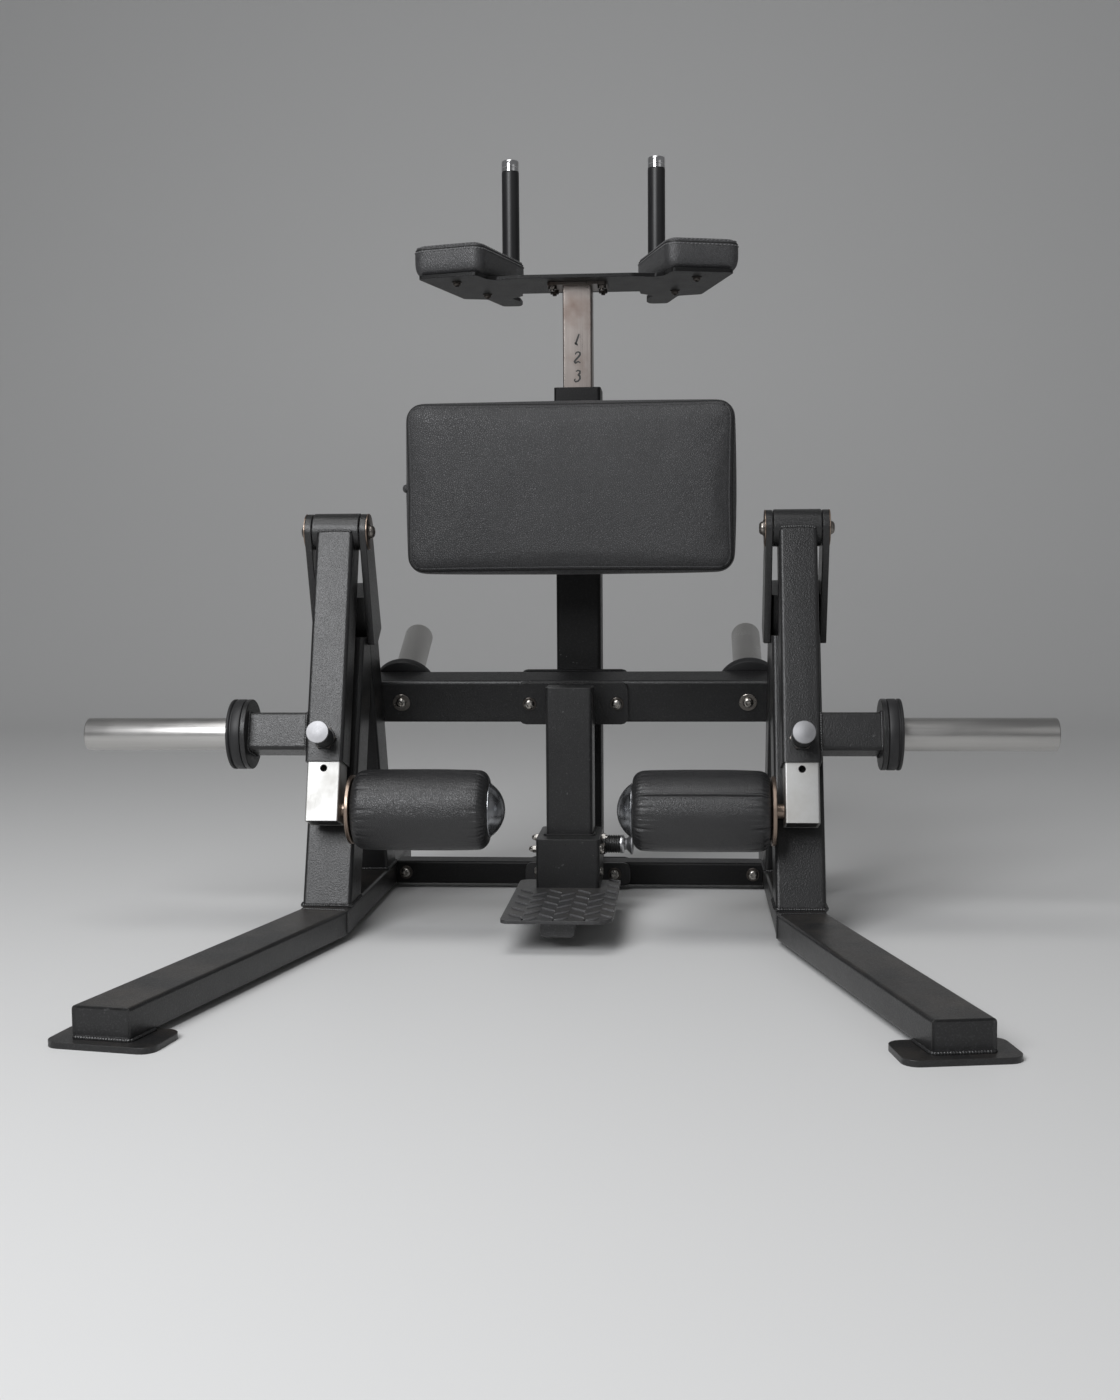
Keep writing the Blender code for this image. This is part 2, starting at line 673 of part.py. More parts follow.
def build_side_frame(side, label, parent):
    build_rail(side, label + "_floor_rail", parent)
    build_foot_plate(side, label + "_foot_plate", parent)
    build_post(side, label + "_front_post", parent)
    build_strut(side, label + "_rear_strut", parent)
    inner_edge = SIDE_INNER - EAR_THICKNESS if side > 0 else -SIDE_INNER + SEAT_GAP
    outer_edge = SIDE_OUTER + SEAT_GAP if side > 0 else -SIDE_OUTER - EAR_THICKNESS
    build_ear(inner_edge, label + "_inner_ear", parent)
    build_ear(outer_edge, label + "_outer_ear", parent)
    build_pivot_pin(side, label + "_pivot_pin", parent)
    build_arm_stop(side, label + "_arm_stop", parent)


def build_cross_tube(name, seat, back, up, height, depth, half_length, corner, parent):
    """Tube along X whose front face is centred on the seat, with plugged ends."""
    centre = seat + back * (depth / 2)
    planes = [(Vector((edge, 0, 0)), Vector((1, 0, 0))) for edge in (-half_length, half_length)]
    outline = rounded_rectangle(depth, height, corner)
    rings = [ring_on_plane(outline, centre, back, up, Vector((1, 0, 0)), *plane) for plane in planes]
    shape = mesh_from_rings(rings)
    shape.faces.ensure_lookup_table()
    for cap in shape.faces[-2:]:
        bmesh.ops.inset_individual(shape, faces=[cap], thickness=TUBE_END_RIM, depth=-TUBE_END_RECESS)
    return add_object(name, shape, parent, "black_steel")


def storage_peg_frame(side):
    """Root of a storage peg on the beam's back, with Z along the tilted peg."""
    root = BEAM_SEAT + STRUT_BACK * (BEAM_DEPTH + SEAT_GAP)
    along = STRUT_BACK * math.cos(STORAGE_PEG_TILT) + STRUT_UP * math.sin(STORAGE_PEG_TILT)
    return frame_from((side * STORAGE_PEG_X, root.y, root.z), (1, 0, 0), along)


def storage_bumper_seat():
    """Distance up a peg at which its tilted rubber ring clears the beam."""
    return min(BEAM_HEIGHT / 2, BUMPER_RADIUS) * math.sin(STORAGE_PEG_TILT) + SEAT_GAP


def build_storage_peg(side, label, parent):
    """Tilted peg on the back of the beam, with a rubber buffer at its root."""
    place = storage_peg_frame(side)
    seat = storage_bumper_seat()
    end = seat + STORAGE_BUMPER_THICKNESS + STORAGE_PEG_LENGTH
    sunk = SLEEVE_RADIUS * math.tan(STORAGE_PEG_TILT) + CUT_OVERSHOOT
    chamfer = SLEEVE_CHAMFER
    profile = [(0, -sunk), (SLEEVE_RADIUS, -sunk), (SLEEVE_RADIUS, end - chamfer),
               (SLEEVE_RADIUS - chamfer, end), (0, end)]
    peg = turned(label + "_storage_peg", profile, place, parent, "bare_steel")
    reach = 2 * (SLEEVE_RADIUS + CUT_OVERSHOOT)
    beam_side = frame_from(place.translation, (1, 0, 0), -STRUT_BACK)
    spare = plate(label + "_storage_peg_cut", rounded_rectangle(reach, reach, SOFT_EDGE), 2 * sunk, beam_side,
                  parent, "bare_steel")
    combine(peg, spare, "DIFFERENCE")
    bore = SLEEVE_RADIUS + SEAT_GAP
    build_bumper(label + "_storage_bumper", bore, seat, STORAGE_BUMPER_THICKNESS, place, parent)


def build_bumper(name, bore, start, thickness, place, parent):
    edge = SOFT_EDGE
    profile = [(bore, start), (BUMPER_RADIUS - edge, start), (BUMPER_RADIUS, start + edge),
               (BUMPER_RADIUS, start + thickness - edge), (BUMPER_RADIUS - edge, start + thickness),
               (bore, start + thickness)]
    return turned(name, profile, place, parent, "rubber", steps=32)


def flange_frame(point, back, thickness_side):
    """Frame on a cross member's face, with Z out of the face that the flange bolts to."""
    outward = back * thickness_side
    return frame_from(point + outward * SEAT_GAP, (thickness_side, 0, 0), outward)


def build_step_column(parent):
    """Column of the step, with stubs and flange plates to the beam and the cross member."""
    column = upright_tube("step_column", STEP_COLUMN, STEP_COLUMN, TUBE_CORNER, (0, STEP_COLUMN_CENTRE),
                          STEP_COLUMN_BOTTOM, STEP_COLUMN_TOP, parent, "black_steel")
    column_back = STEP_COLUMN_FRONT + STEP_COLUMN
    flange = rounded_rectangle(FLANGE_WIDTH, BEAM_HEIGHT, FLANGE_CORNER)
    upper_face = flange_frame(BEAM_SEAT, STRUT_BACK, -1)
    upper = plate("step_column_upper_flange", flange, FLANGE_THICKNESS, upper_face, parent, "black_steel")
    stub = rounded_rectangle(STEP_COLUMN - 2 * TUBE_CORNER, UPPER_STUB_HEIGHT, TUBE_CORNER)
    back = Vector((0, 1, 0))
    stub_planes = [
        (Vector((0, column_back - WELD_OVERLAP, 0)), back),
        (BEAM_SEAT - STRUT_BACK * (FLANGE_THICKNESS / 2), STRUT_BACK),
    ]
    stub_centre = Vector((0, column_back, BEAM_SEAT_HEIGHT))
    upper_stub = straight_tube("step_column_upper_stub", stub, stub_centre, Vector((1, 0, 0)),
                               Vector((0, 0, 1)), back, stub_planes, parent, "black_steel")
    low_centre = Vector((0, CROSS_MEMBER_FRONT, FOOT_PLATE + RAIL_HEIGHT / 2))
    low_flange = rounded_rectangle(FLANGE_WIDTH, RAIL_HEIGHT, FLANGE_CORNER)
    lower_face = flange_frame(low_centre, back, -1)
    lower = plate("step_column_lower_flange", low_flange, FLANGE_THICKNESS, lower_face, parent,
                  "black_steel")
    low_stub = rounded_rectangle(STEP_COLUMN - 2 * TUBE_CORNER, RAIL_HEIGHT - 2 * RAIL_CORNER, RAIL_CORNER)
    low_planes = [(Vector((0, depth, 0)), back)
                  for depth in (column_back - WELD_OVERLAP, CROSS_MEMBER_FRONT - FLANGE_THICKNESS / 2)]
    lower_stub = straight_tube("step_column_lower_stub", low_stub, low_centre, Vector((1, 0, 0)),
                               Vector((0, 0, 1)), back, low_planes, parent, "black_steel")
    for piece in (upper_stub, upper, lower_stub, lower):
        combine(column, piece, "UNION")
    return column


def build_pad_column(parent):
    """Full-height column of the pads, open at the top for the arm rest's post."""
    column = upright_tube("pad_column", PAD_COLUMN, PAD_COLUMN, TUBE_CORNER, (0, PAD_COLUMN_CENTRE),
                          PAD_COLUMN_BOTTOM, PAD_COLUMN_TOP, parent, "black_steel", wall=COLUMN_WALL)
    back = Vector((0, 1, 0))
    across = Vector((1, 0, 0))
    flange = rounded_rectangle(FLANGE_WIDTH, BEAM_HEIGHT, FLANGE_CORNER)
    beam_back = BEAM_SEAT + STRUT_BACK * BEAM_DEPTH
    upper = plate("pad_column_upper_flange", flange, FLANGE_THICKNESS,
                  flange_frame(beam_back, STRUT_BACK, 1), parent, "black_steel")
    stub = rounded_rectangle(PAD_COLUMN - 2 * TUBE_CORNER, UPPER_STUB_HEIGHT, TUBE_CORNER)
    stub_planes = [
        (beam_back + STRUT_BACK * (FLANGE_THICKNESS / 2), STRUT_BACK),
        (Vector((0, PAD_COLUMN_FRONT + WELD_OVERLAP, 0)), back),
    ]
    stub_centre = Vector((0, beam_back.y, beam_back.z))
    upper_stub = straight_tube("pad_column_upper_stub", stub, stub_centre, across, Vector((0, 0, 1)),
                               back, stub_planes, parent, "black_steel")
    low_centre = Vector((0, CROSS_MEMBER_FRONT + CROSS_MEMBER_DEPTH, FOOT_PLATE + RAIL_HEIGHT / 2))
    low_flange = rounded_rectangle(FLANGE_WIDTH, RAIL_HEIGHT, FLANGE_CORNER)
    reach = PAD_COLUMN_FRONT + WELD_OVERLAP - low_centre.y - SEAT_GAP
    lower = plate("pad_column_lower_flange", low_flange, reach, flange_frame(low_centre, back, 1),
                  parent, "black_steel")
    boss = pin_boss_guide("pad_column_pin_boss", rest_pin_frame(), COLUMN_WALL, parent)
    for piece in (upper_stub, upper, lower, boss):
        combine(column, piece, "UNION")
    hole = pin_hole_guide("pad_column_pin_hole", rest_pin_frame(), COLUMN_WALL, parent)
    return combine(column, hole, "DIFFERENCE")


def rest_pin_frame():
    """Spring pin of the arm rest, on the back of the pad column."""
    height = PAD_COLUMN_TOP - COLLAR_INSERT - REST_PIN_BELOW_COLLAR
    return frame_from((0, PAD_COLUMN_FRONT + PAD_COLUMN, height), (1, 0, 0), (0, 1, 0))


def pin_boss_guide(name, place, wall, parent):
    """Round housing of a spring pin, from inside the wall to its outer end."""
    edge = 0.1 * PIN_BOSS_RADIUS
    profile = [(0, -0.5 * wall), (PIN_NUT_RADIUS, -0.5 * wall), (PIN_NUT_RADIUS, PIN_NUT_HEIGHT),
               (PIN_BOSS_RADIUS, PIN_NUT_HEIGHT), (PIN_BOSS_RADIUS, PIN_BOSS_HEIGHT - edge),
               (PIN_BOSS_RADIUS - edge, PIN_BOSS_HEIGHT), (0, PIN_BOSS_HEIGHT)]
    return turned(name, profile, place, parent, "black_plastic", steps=20)


def pin_hole_guide(name, place, wall, parent):
    radius = PLUNGER_RADIUS + SLIDE_CLEARANCE
    low = -wall - CUT_OVERSHOOT
    high = PIN_BOSS_HEIGHT + CUT_OVERSHOOT
    return turned(name, [(0, low), (radius, low), (radius, high), (0, high)], place, parent,
                  "black_plastic", steps=16)


def build_pin_knob(name, place, wall, parent):
    """Plunger with its pull knob, whose nose lies flush inside the wall."""
    nose = -wall + SEAT_GAP
    seat = PIN_BOSS_HEIGHT + SEAT_GAP
    rim = seat + KNOB_HEIGHT
    profile = [
        (0, nose),
        (PLUNGER_RADIUS - EDGE_BREAK, nose),
        (PLUNGER_RADIUS, nose + EDGE_BREAK),
        (PLUNGER_RADIUS, seat),
        (KNOB_NECK_RADIUS, seat),
        (KNOB_NECK_RADIUS, seat + 0.5 * (KNOB_HEIGHT - KNOB_RIM)),
        (0.85 * KNOB_RADIUS, rim - KNOB_RIM),
        (KNOB_RADIUS, rim - 0.8 * KNOB_RIM),
        (KNOB_RADIUS, rim - 0.2 * KNOB_RIM),
        (0.95 * KNOB_RADIUS, rim),
        (0, rim + KNOB_CONE),
    ]
    return turned(name, profile, place, parent, "aluminium", steps=20)


def build_collar(parent):
    """Guide bush: a cap on the column's top edge and an insert inside its bore."""
    centre = (0, PAD_COLUMN_CENTRE)
    bore = REST_POST + 2 * SLIDE_CLEARANCE
    bottom = PAD_COLUMN_TOP + SEAT_GAP
    cap = upright_tube("collar_bush", COLLAR_WIDTH, COLLAR_WIDTH, TUBE_CORNER, centre, bottom,
                       bottom + COLLAR_HEIGHT, parent, "black_plastic", wall=(COLLAR_WIDTH - bore) / 2)
    insert_width = PAD_COLUMN - 2 * COLUMN_WALL - 2 * SEAT_GAP
    insert = upright_tube("collar_bush_insert", insert_width, insert_width, TUBE_CORNER - COLUMN_WALL, centre,
                          PAD_COLUMN_TOP - COLLAR_INSERT, bottom + 0.5 * COLLAR_HEIGHT, parent,
                          "black_plastic", wall=(insert_width - bore) / 2)
    return combine(cap, insert, "UNION")


def build_thigh_pad(parent):
    """Cushion on its board, carried by a plate and a tube in front of the pad column."""
    toward_user = frame_from((0, 0, PAD_CENTRE_HEIGHT), (-1, 0, 0), (0, -1, 0))
    board_front = PAD_FRONT + PAD_THICKNESS + PAD_CROWN
    board_back = board_front + PAD_BOARD
    place = toward_user.copy()
    place.translation.y = board_front - SEAT_GAP
    cushion("thigh_pad", PAD_WIDTH, PAD_HEIGHT, PAD_THICKNESS - SEAT_GAP, PAD_CORNER, PAD_CROWN, place,
            parent)
    place = toward_user.copy()
    place.translation.y = board_back
    outline = rounded_rectangle(PAD_WIDTH - 2 * PAD_BOARD_INSET, PAD_HEIGHT - 2 * PAD_BOARD_INSET,
                                PAD_CORNER - PAD_BOARD_INSET, steps=4)
    plate("thigh_pad_board", outline, PAD_BOARD, place, parent, "black_plastic")
    plate_back = board_back + SEAT_GAP + BRACKET_PLATE
    place = toward_user.copy()
    place.translation.y = plate_back
    outline = rounded_rectangle(BRACKET_PLATE_WIDTH, BRACKET_PLATE_HEIGHT, FLANGE_CORNER)
    bracket = plate("pad_bracket", outline, BRACKET_PLATE, place, parent, "black_steel")
    back = Vector((0, 1, 0))
    planes = [(Vector((0, depth, 0)), back)
              for depth in (plate_back - BRACKET_PLATE / 2, PAD_COLUMN_FRONT - SEAT_GAP)]
    arm = straight_tube("pad_bracket_tube", rounded_rectangle(BRACKET_TUBE, BRACKET_TUBE, TUBE_CORNER),
                        Vector((0, 0, PAD_CENTRE_HEIGHT)), Vector((1, 0, 0)), Vector((0, 0, 1)), back,
                        planes, parent, "black_steel")
    return combine(bracket, arm, "UNION")


def build_frame(parent):
    for side, label in ((-1, "left"), (1, "right")):
        build_side_frame(side, label, parent)
        build_storage_peg(side, label, parent)
    build_cross_tube("upper_beam", BEAM_SEAT, STRUT_BACK, STRUT_UP, BEAM_HEIGHT, BEAM_DEPTH, SIDE_OUTER,
                     TUBE_CORNER, parent)
    low_seat = Vector((0, CROSS_MEMBER_FRONT, FOOT_PLATE + RAIL_HEIGHT / 2))
    build_cross_tube("base_cross_member", low_seat, Vector((0, 1, 0)), Vector((0, 0, 1)), RAIL_HEIGHT,
                     CROSS_MEMBER_DEPTH, SIDE_INNER - SEAT_GAP, RAIL_CORNER, parent)
    build_step_column(parent)
    build_pad_column(parent)
    build_collar(parent)
    build_thigh_pad(parent)


def build_arm(side, label, pivot):
    """Arm in the pivot's own frame, where -Z runs down the arm and +Y is its back."""
    across = Vector((1, 0, 0))
    hub_half = FRAME_TUBE / 2 - RUNNING_GAP
    hub_frame = frame_from((-hub_half, 0, 0), (0, 1, 0), (1, 0, 0))
    hub_edge = HUB_RADIUS - EDGE_BREAK
    hub_profile = [(0, 0), (hub_edge, 0), (HUB_RADIUS, EDGE_BREAK), (HUB_RADIUS, 2 * hub_half - EDGE_BREAK),
                   (hub_edge, 2 * hub_half), (0, 2 * hub_half)]
    planes = [(Vector((0, 0, level)), Vector((0, 0, 1))) for level in (-ARM_LENGTH, ARM_TUBE_TOP)]
    outline = rounded_rectangle(ARM_TUBE, ARM_TUBE, TUBE_CORNER)
    inner = ARM_TUBE - 2 * ARM_WALL
    bore = rounded_rectangle(inner, inner, TUBE_CORNER - ARM_WALL)
    arm = straight_tube(label + "_swing_arm", outline, Vector((0, 0, 0)), across,
                        Vector((0, 1, 0)), Vector((0, 0, 1)), planes, pivot, "black_steel", bore)
    hub = turned(label + "_swing_arm_hub", hub_profile, hub_frame, pivot, "black_steel", steps=32)
    combine(arm, hub, "UNION")
    bore_radius = PIN_RADIUS + SLIDE_CLEARANCE
    reach = 2 * (hub_half + CUT_OVERSHOOT)
    bore_frame = frame_from((-reach / 2, 0, 0), (0, 1, 0), (1, 0, 0))
    bore_profile = [(0, 0), (bore_radius, 0), (bore_radius, reach), (0, reach)]
    shaft_room = turned(label + "_swing_arm_bore", bore_profile, bore_frame, pivot, "black_steel", steps=24)
    combine(arm, shaft_room, "DIFFERENCE")
    lock = arm_pin_frame()
    combine(arm, pin_boss_guide(label + "_arm_pin_boss", lock, ARM_WALL, pivot), "UNION")
    combine(arm, pin_hole_guide(label + "_arm_pin_hole", lock, ARM_WALL, pivot), "DIFFERENCE")
    build_horn(side, label, pivot)


def arm_pin_frame():
    """Spring pin on the front face of an arm, in the pivot's frame."""
    return frame_from((0, -ARM_TUBE / 2, -LOCK_HOLE_DOWN), (1, 0, 0), (0, -1, 0))


def build_horn(side, label, pivot):
    """Square horn with its end plate, rubber bumper and weight sleeve."""
    start = ARM_TUBE / 2 + SEAT_GAP
    end = HORN_END - SIDE_CENTRE
    outward = Vector((side, 0, 0))
    centre = Vector((0, 0, -HORN_DOWN))
    planes = [(outward * reach, outward) for reach in (start, end + 0.5 * HORN_PLATE)]
    horn = straight_tube(label + "_horn", rounded_rectangle(ARM_TUBE, ARM_TUBE, TUBE_CORNER), centre,
                         Vector((0, 1, 0)), Vector((0, 0, 1)), outward, planes, pivot, "black_steel")
    place = frame_from(centre + outward * end, (0, 0, 1), outward)
    edge = BUMPER_RADIUS - EDGE_BREAK
    disc = [(0, 0), (edge, 0), (BUMPER_RADIUS, EDGE_BREAK), (BUMPER_RADIUS, HORN_PLATE - EDGE_BREAK),
            (edge, HORN_PLATE), (0, HORN_PLATE)]
    flange = turned(label + "_horn_flange", disc, place, pivot, "black_steel", steps=32)
    combine(horn, flange, "UNION")
    seat = HORN_PLATE + SEAT_GAP
    build_bumper(label + "_bumper", SLEEVE_RADIUS + SEAT_GAP, seat, BUMPER_THICKNESS, place, pivot)
    tip = SLEEVE_END - HORN_END
    chamfer = SLEEVE_CHAMFER
    sleeve = [(0, seat), (SLEEVE_RADIUS, seat), (SLEEVE_RADIUS, tip - chamfer),
              (SLEEVE_RADIUS - chamfer, tip), (0, tip)]
    turned(label + "_weight_sleeve", sleeve, place, pivot, "bare_steel", steps=32)


def build_slide_tube(label, slide):
    """Bare steel tube that slides in the arm, drilled down its front face."""
    outline = rounded_rectangle(SLIDE_TUBE, SLIDE_TUBE, SLIDE_TUBE_CORNER)
    inner = SLIDE_TUBE - 2 * SLIDE_TUBE_WALL
    bore = rounded_rectangle(inner, inner, INNER_CORNER)
    planes = [(Vector((0, 0, level)), Vector((0, 0, 1)))
              for level in (-SLIDE_TUBE_END, SLIDE_TUBE_LENGTH - SLIDE_TUBE_END)]
    centre = Vector((0, 0, 0))
    tube = straight_tube(label + "_slide_tube", outline, centre, Vector((1, 0, 0)), Vector((0, 1, 0)),
                         Vector((0, 0, 1)), planes, slide, "bare_steel", bore)
    plug_planes = [(Vector((0, 0, level)), Vector((0, 0, 1)))
                   for level in (SLIDE_PLUG_RECESS - SLIDE_TUBE_END, SLIDE_PLUG_TOP - SLIDE_TUBE_END)]
    plug_width = inner + 2 * WELD_OVERLAP
    plug = straight_tube(label + "_slide_tube_plug", rounded_rectangle(plug_width, plug_width, INNER_CORNER),
                         centre, Vector((1, 0, 0)), Vector((0, 1, 0)), Vector((0, 0, 1)), plug_planes,
                         slide, "bare_steel")
    combine(tube, plug, "UNION")
    lowest = LOCK_HOLE_DOWN + 2 * HOLE_PITCH
    face = -SLIDE_TUBE / 2
    for index in range(HOLE_COUNT):
        down = lowest - index * HOLE_PITCH
        place = frame_from((0, face + SLIDE_TUBE_WALL + CUT_OVERSHOOT, -down), (1, 0, 0), (0, -1, 0))
        depth = SLIDE_TUBE_WALL + 2 * CUT_OVERSHOOT
        drill = turned(f"{label}_slide_tube_drill_{index + 1}",
                       [(0, 0), (HOLE_RADIUS, 0), (HOLE_RADIUS, depth), (0, depth)], place, slide,
                       "bare_steel", steps=16)
        combine(tube, drill, "DIFFERENCE")


def build_roller_shaft(side, label, slide):
    """Shaft from the sliding tube through the roller, with the roller's back flange."""
    start = -SLIDE_TUBE / 2 - SEAT_GAP
    flange_at = ROLLER_OUTER - SIDE_CENTRE + ROLLER_FLANGE_THICKNESS + RUNNING_GAP
    end = ROLLER_INNER - SIDE_CENTRE + CAP_STEM_LENGTH
    inward = Vector((-side, 0, 0))
    place = frame_from((0, 0, -ROLLER_DOWN), (0, 1, 0), inward)
    radius = ROLLER_SHAFT_RADIUS
    wide = ROLLER_FLANGE_RADIUS
    profile = [
        (0, -start),
        (radius, -start),
        (radius, -flange_at),
        (wide - EDGE_BREAK, -flange_at),
        (wide, -flange_at + EDGE_BREAK),
        (wide, -flange_at + ROLLER_FLANGE_THICKNESS - EDGE_BREAK),
        (wide - EDGE_BREAK, -flange_at + ROLLER_FLANGE_THICKNESS),
        (radius, -flange_at + ROLLER_FLANGE_THICKNESS),
        (radius, -end),
        (0, -end),
    ]
    turned(label + "_roller_shaft", profile, place, slide, "bare_steel", steps=32)
    dome_base = SIDE_CENTRE - ROLLER_INNER + RUNNING_GAP
    rows = [(0, -end + SEAT_GAP), (CAP_STEM_RADIUS, -end + SEAT_GAP), (CAP_STEM_RADIUS, dome_base)]
    sphere = (DOME_RADIUS ** 2 + DOME_HEIGHT ** 2) / (2 * DOME_HEIGHT)
    sweep = math.asin(DOME_RADIUS / sphere)
    rows.append((DOME_RADIUS, dome_base))
    for step in range(1, 7):
        angle = sweep * (1 - step / 6)
        rows.append((sphere * math.sin(angle), dome_base + DOME_HEIGHT - sphere * (1 - math.cos(angle))))
    turned(label + "_roller_cap", rows, place, slide, "chrome", steps=32)


def build_roller(side, label, axis):
    """Foam roller pad: swollen body, round shoulders and a dished, gathered end."""
    bore = ROLLER_SHAFT_RADIUS + SLIDE_CLEARANCE
    length = ROLLER_OUTER - ROLLER_INNER
    place = frame_from((side * (ROLLER_OUTER - SIDE_CENTRE), 0, 0), (0, 1, 0), (-side, 0, 0))
    profile = [(bore, ROLLER_DISH), (ROLLER_DISH_RADIUS, ROLLER_DISH)]
    for step in range(5):
        angle = math.radians(22.5 * step)
        profile.append((ROLLER_RADIUS - ROLLER_EDGE * (1 - math.sin(angle)),
                        ROLLER_EDGE * (1 - math.cos(angle))))
    for share in (0.3, 0.5, 0.7):
        profile.append((ROLLER_RADIUS + ROLLER_SWELL * math.sin(math.pi * share), length * share))
    for step in range(4, -1, -1):
        angle = math.radians(22.5 * step)
        profile.append((ROLLER_RADIUS - ROLLER_EDGE * (1 - math.sin(angle)),
                        length - ROLLER_EDGE * (1 - math.cos(angle))))
    profile += [(ROLLER_DISH_RADIUS, length - ROLLER_DISH), (bore, length - ROLLER_DISH)]
    turned(label + "_roller", profile, place, axis, "leather", steps=28)


def build_moving_arms(parent):
    for side, label in ((-1, "left"), (1, "right")):
        pivot = empty(label + "_arm_pivot", parent, (side * SIDE_CENTRE, PIVOT_DEPTH, PIVOT_HEIGHT),
                      -ARM_LEAN)
        build_arm(side, label, pivot)
        slide = empty(label + "_slide", pivot)
        build_slide_tube(label, slide)
        build_roller_shaft(side, label, slide)
        axis = empty(label + "_roller_axis", slide, (0, 0, -ROLLER_DOWN))
        build_roller(side, label, axis)
        build_pin_knob(label + "_arm_pin_knob", arm_pin_frame(), ARM_WALL, pivot)


def rest_plate_outline():
    """Arm rest plate: nose in front, a wing under each arm pad, a tail under each handle."""
    outer = [
        (REST_PLATE_NOSE, REST_PLATE_NOSE_CORNER),
        (REST_PLATE_SHOULDER, REST_PLATE_CORNER),
        (REST_PLATE_STEP, REST_PLATE_CORNER),
        (REST_PLATE_WING_INNER, REST_PLATE_CORNER),
        (REST_PLATE_WING_OUTER, REST_PLATE_CORNER),
        (REST_PLATE_WING_REAR, REST_PLATE_CORNER),
        (REST_PLATE_TAIL_ROOT, REST_PLATE_CORNER),
        (REST_PLATE_TAIL_OUTER, REST_PLATE_CORNER),
        (REST_PLATE_TAIL_INNER, REST_PLATE_CORNER),
    ]
    inner = [
        REST_PLATE_HANDLE_REAR,
        REST_PLATE_HANDLE_SIDE,
        REST_PLATE_HANDLE_FRONT,
        REST_PLATE_SLOT_SIDE,
        REST_PLATE_SLOT_STEP,
        REST_PLATE_SLOT_FRONT,
    ]
    right = outer + [(corner, REST_PLATE_NOTCH_CORNER) for corner in inner]
    left = [((-x, depth), radius) for (x, depth), radius in reversed(right)]
    whole = right + left
    return rounded_polygon([corner for corner, _ in whole], [radius for _, radius in whole], steps=2)


def build_rest(rest):
    """Arm rest: post, plate, two arm pads and two upright handles."""
    centre = (0, PAD_COLUMN_CENTRE)
    flange_top = REST_PLATE_BOTTOM - SEAT_GAP
    post_top = flange_top - REST_FLANGE / 2
    post = upright_tube("rest_post", REST_POST, REST_POST, REST_POST_CORNER, centre,
                        post_top - REST_POST_LENGTH, post_top, rest, "bare_steel", wall=REST_POST_WALL)
    outline = rounded_rectangle(REST_FLANGE_WIDTH, REST_FLANGE_DEPTH, REST_PLATE_CORNER)
    place = Matrix.Translation((0, PAD_COLUMN_CENTRE, flange_top - REST_FLANGE))
    combine(post, plate("rest_post_flange", outline, REST_FLANGE, place, rest, "bare_steel"), "UNION")
    deck = Matrix.Translation((0, 0, REST_PLATE_BOTTOM))
    plate("rest_plate", rest_plate_outline(), REST_PLATE, deck, rest, "black_steel")
    for side, label in ((-1, "left"), (1, "right")):
        turn = Matrix.Rotation(side * ARM_PAD_TURN, 4, "Z")
        corner = Vector((side * ARM_PAD_NEAR_INNER[0], ARM_PAD_NEAR_INNER[1], 0))
        middle = corner + turn @ Vector((side * ARM_PAD_WIDTH / 2, ARM_PAD_LENGTH / 2, 0))
        place = Matrix.Translation((middle.x, middle.y, REST_PLATE_TOP + SEAT_GAP)) @ turn
        cushion(label + "_arm_pad", ARM_PAD_WIDTH, ARM_PAD_LENGTH, ARM_PAD_THICKNESS, ARM_PAD_CORNER,
                ARM_PAD_CROWN, place, rest)
        build_handle(side, label, rest)


def build_handle(side, label, rest):
    base = REST_PLATE_TOP + SEAT_GAP
    place = Matrix.Translation((side * HANDLE_X, HANDLE_DEPTH, base))
    top = HANDLE_TOP - base
    under_cap = top - HANDLE_CAP
    cap = GRIP_RADIUS
    rod = [(0, 0), (cap, 0), (cap, HANDLE_FOOT - EDGE_BREAK), (HANDLE_ROD_RADIUS, HANDLE_FOOT),
           (HANDLE_ROD_RADIUS, under_cap), (cap, under_cap), (cap, top - SOFT_EDGE), (cap - SOFT_EDGE, top),
           (0, top)]
    turned(label + "_handle", rod, place, rest, "aluminium", steps=24)
    bore = HANDLE_ROD_RADIUS + SEAT_GAP
    high = under_cap - SEAT_GAP
    low = GRIP_FOOT
    edge = GRIP_RADIUS - EDGE_BREAK
    grip = [(bore, low), (edge, low), (GRIP_RADIUS, low + EDGE_BREAK), (GRIP_RADIUS, high - EDGE_BREAK),
            (edge, high), (bore, high)]
    turned(label + "_grip", grip, place, rest, "rubber", steps=24)


def step_bore():
    """Side of the square bore in the step's sleeve, which holds the liner."""
    return STEP_COLUMN + 2 * (SLIDE_CLEARANCE + STEP_LINER + SEAT_GAP)


def step_side_wall():
    return (STEP_SLEEVE_WIDTH - step_bore()) / 2


def step_pin_frame():
    """Spring pin on the right side of the step's sleeve."""
    return frame_from((STEP_SLEEVE_WIDTH / 2, STEP_COLUMN_CENTRE, STEP_PIN_HEIGHT), (0, 1, 0), (1, 0, 0))


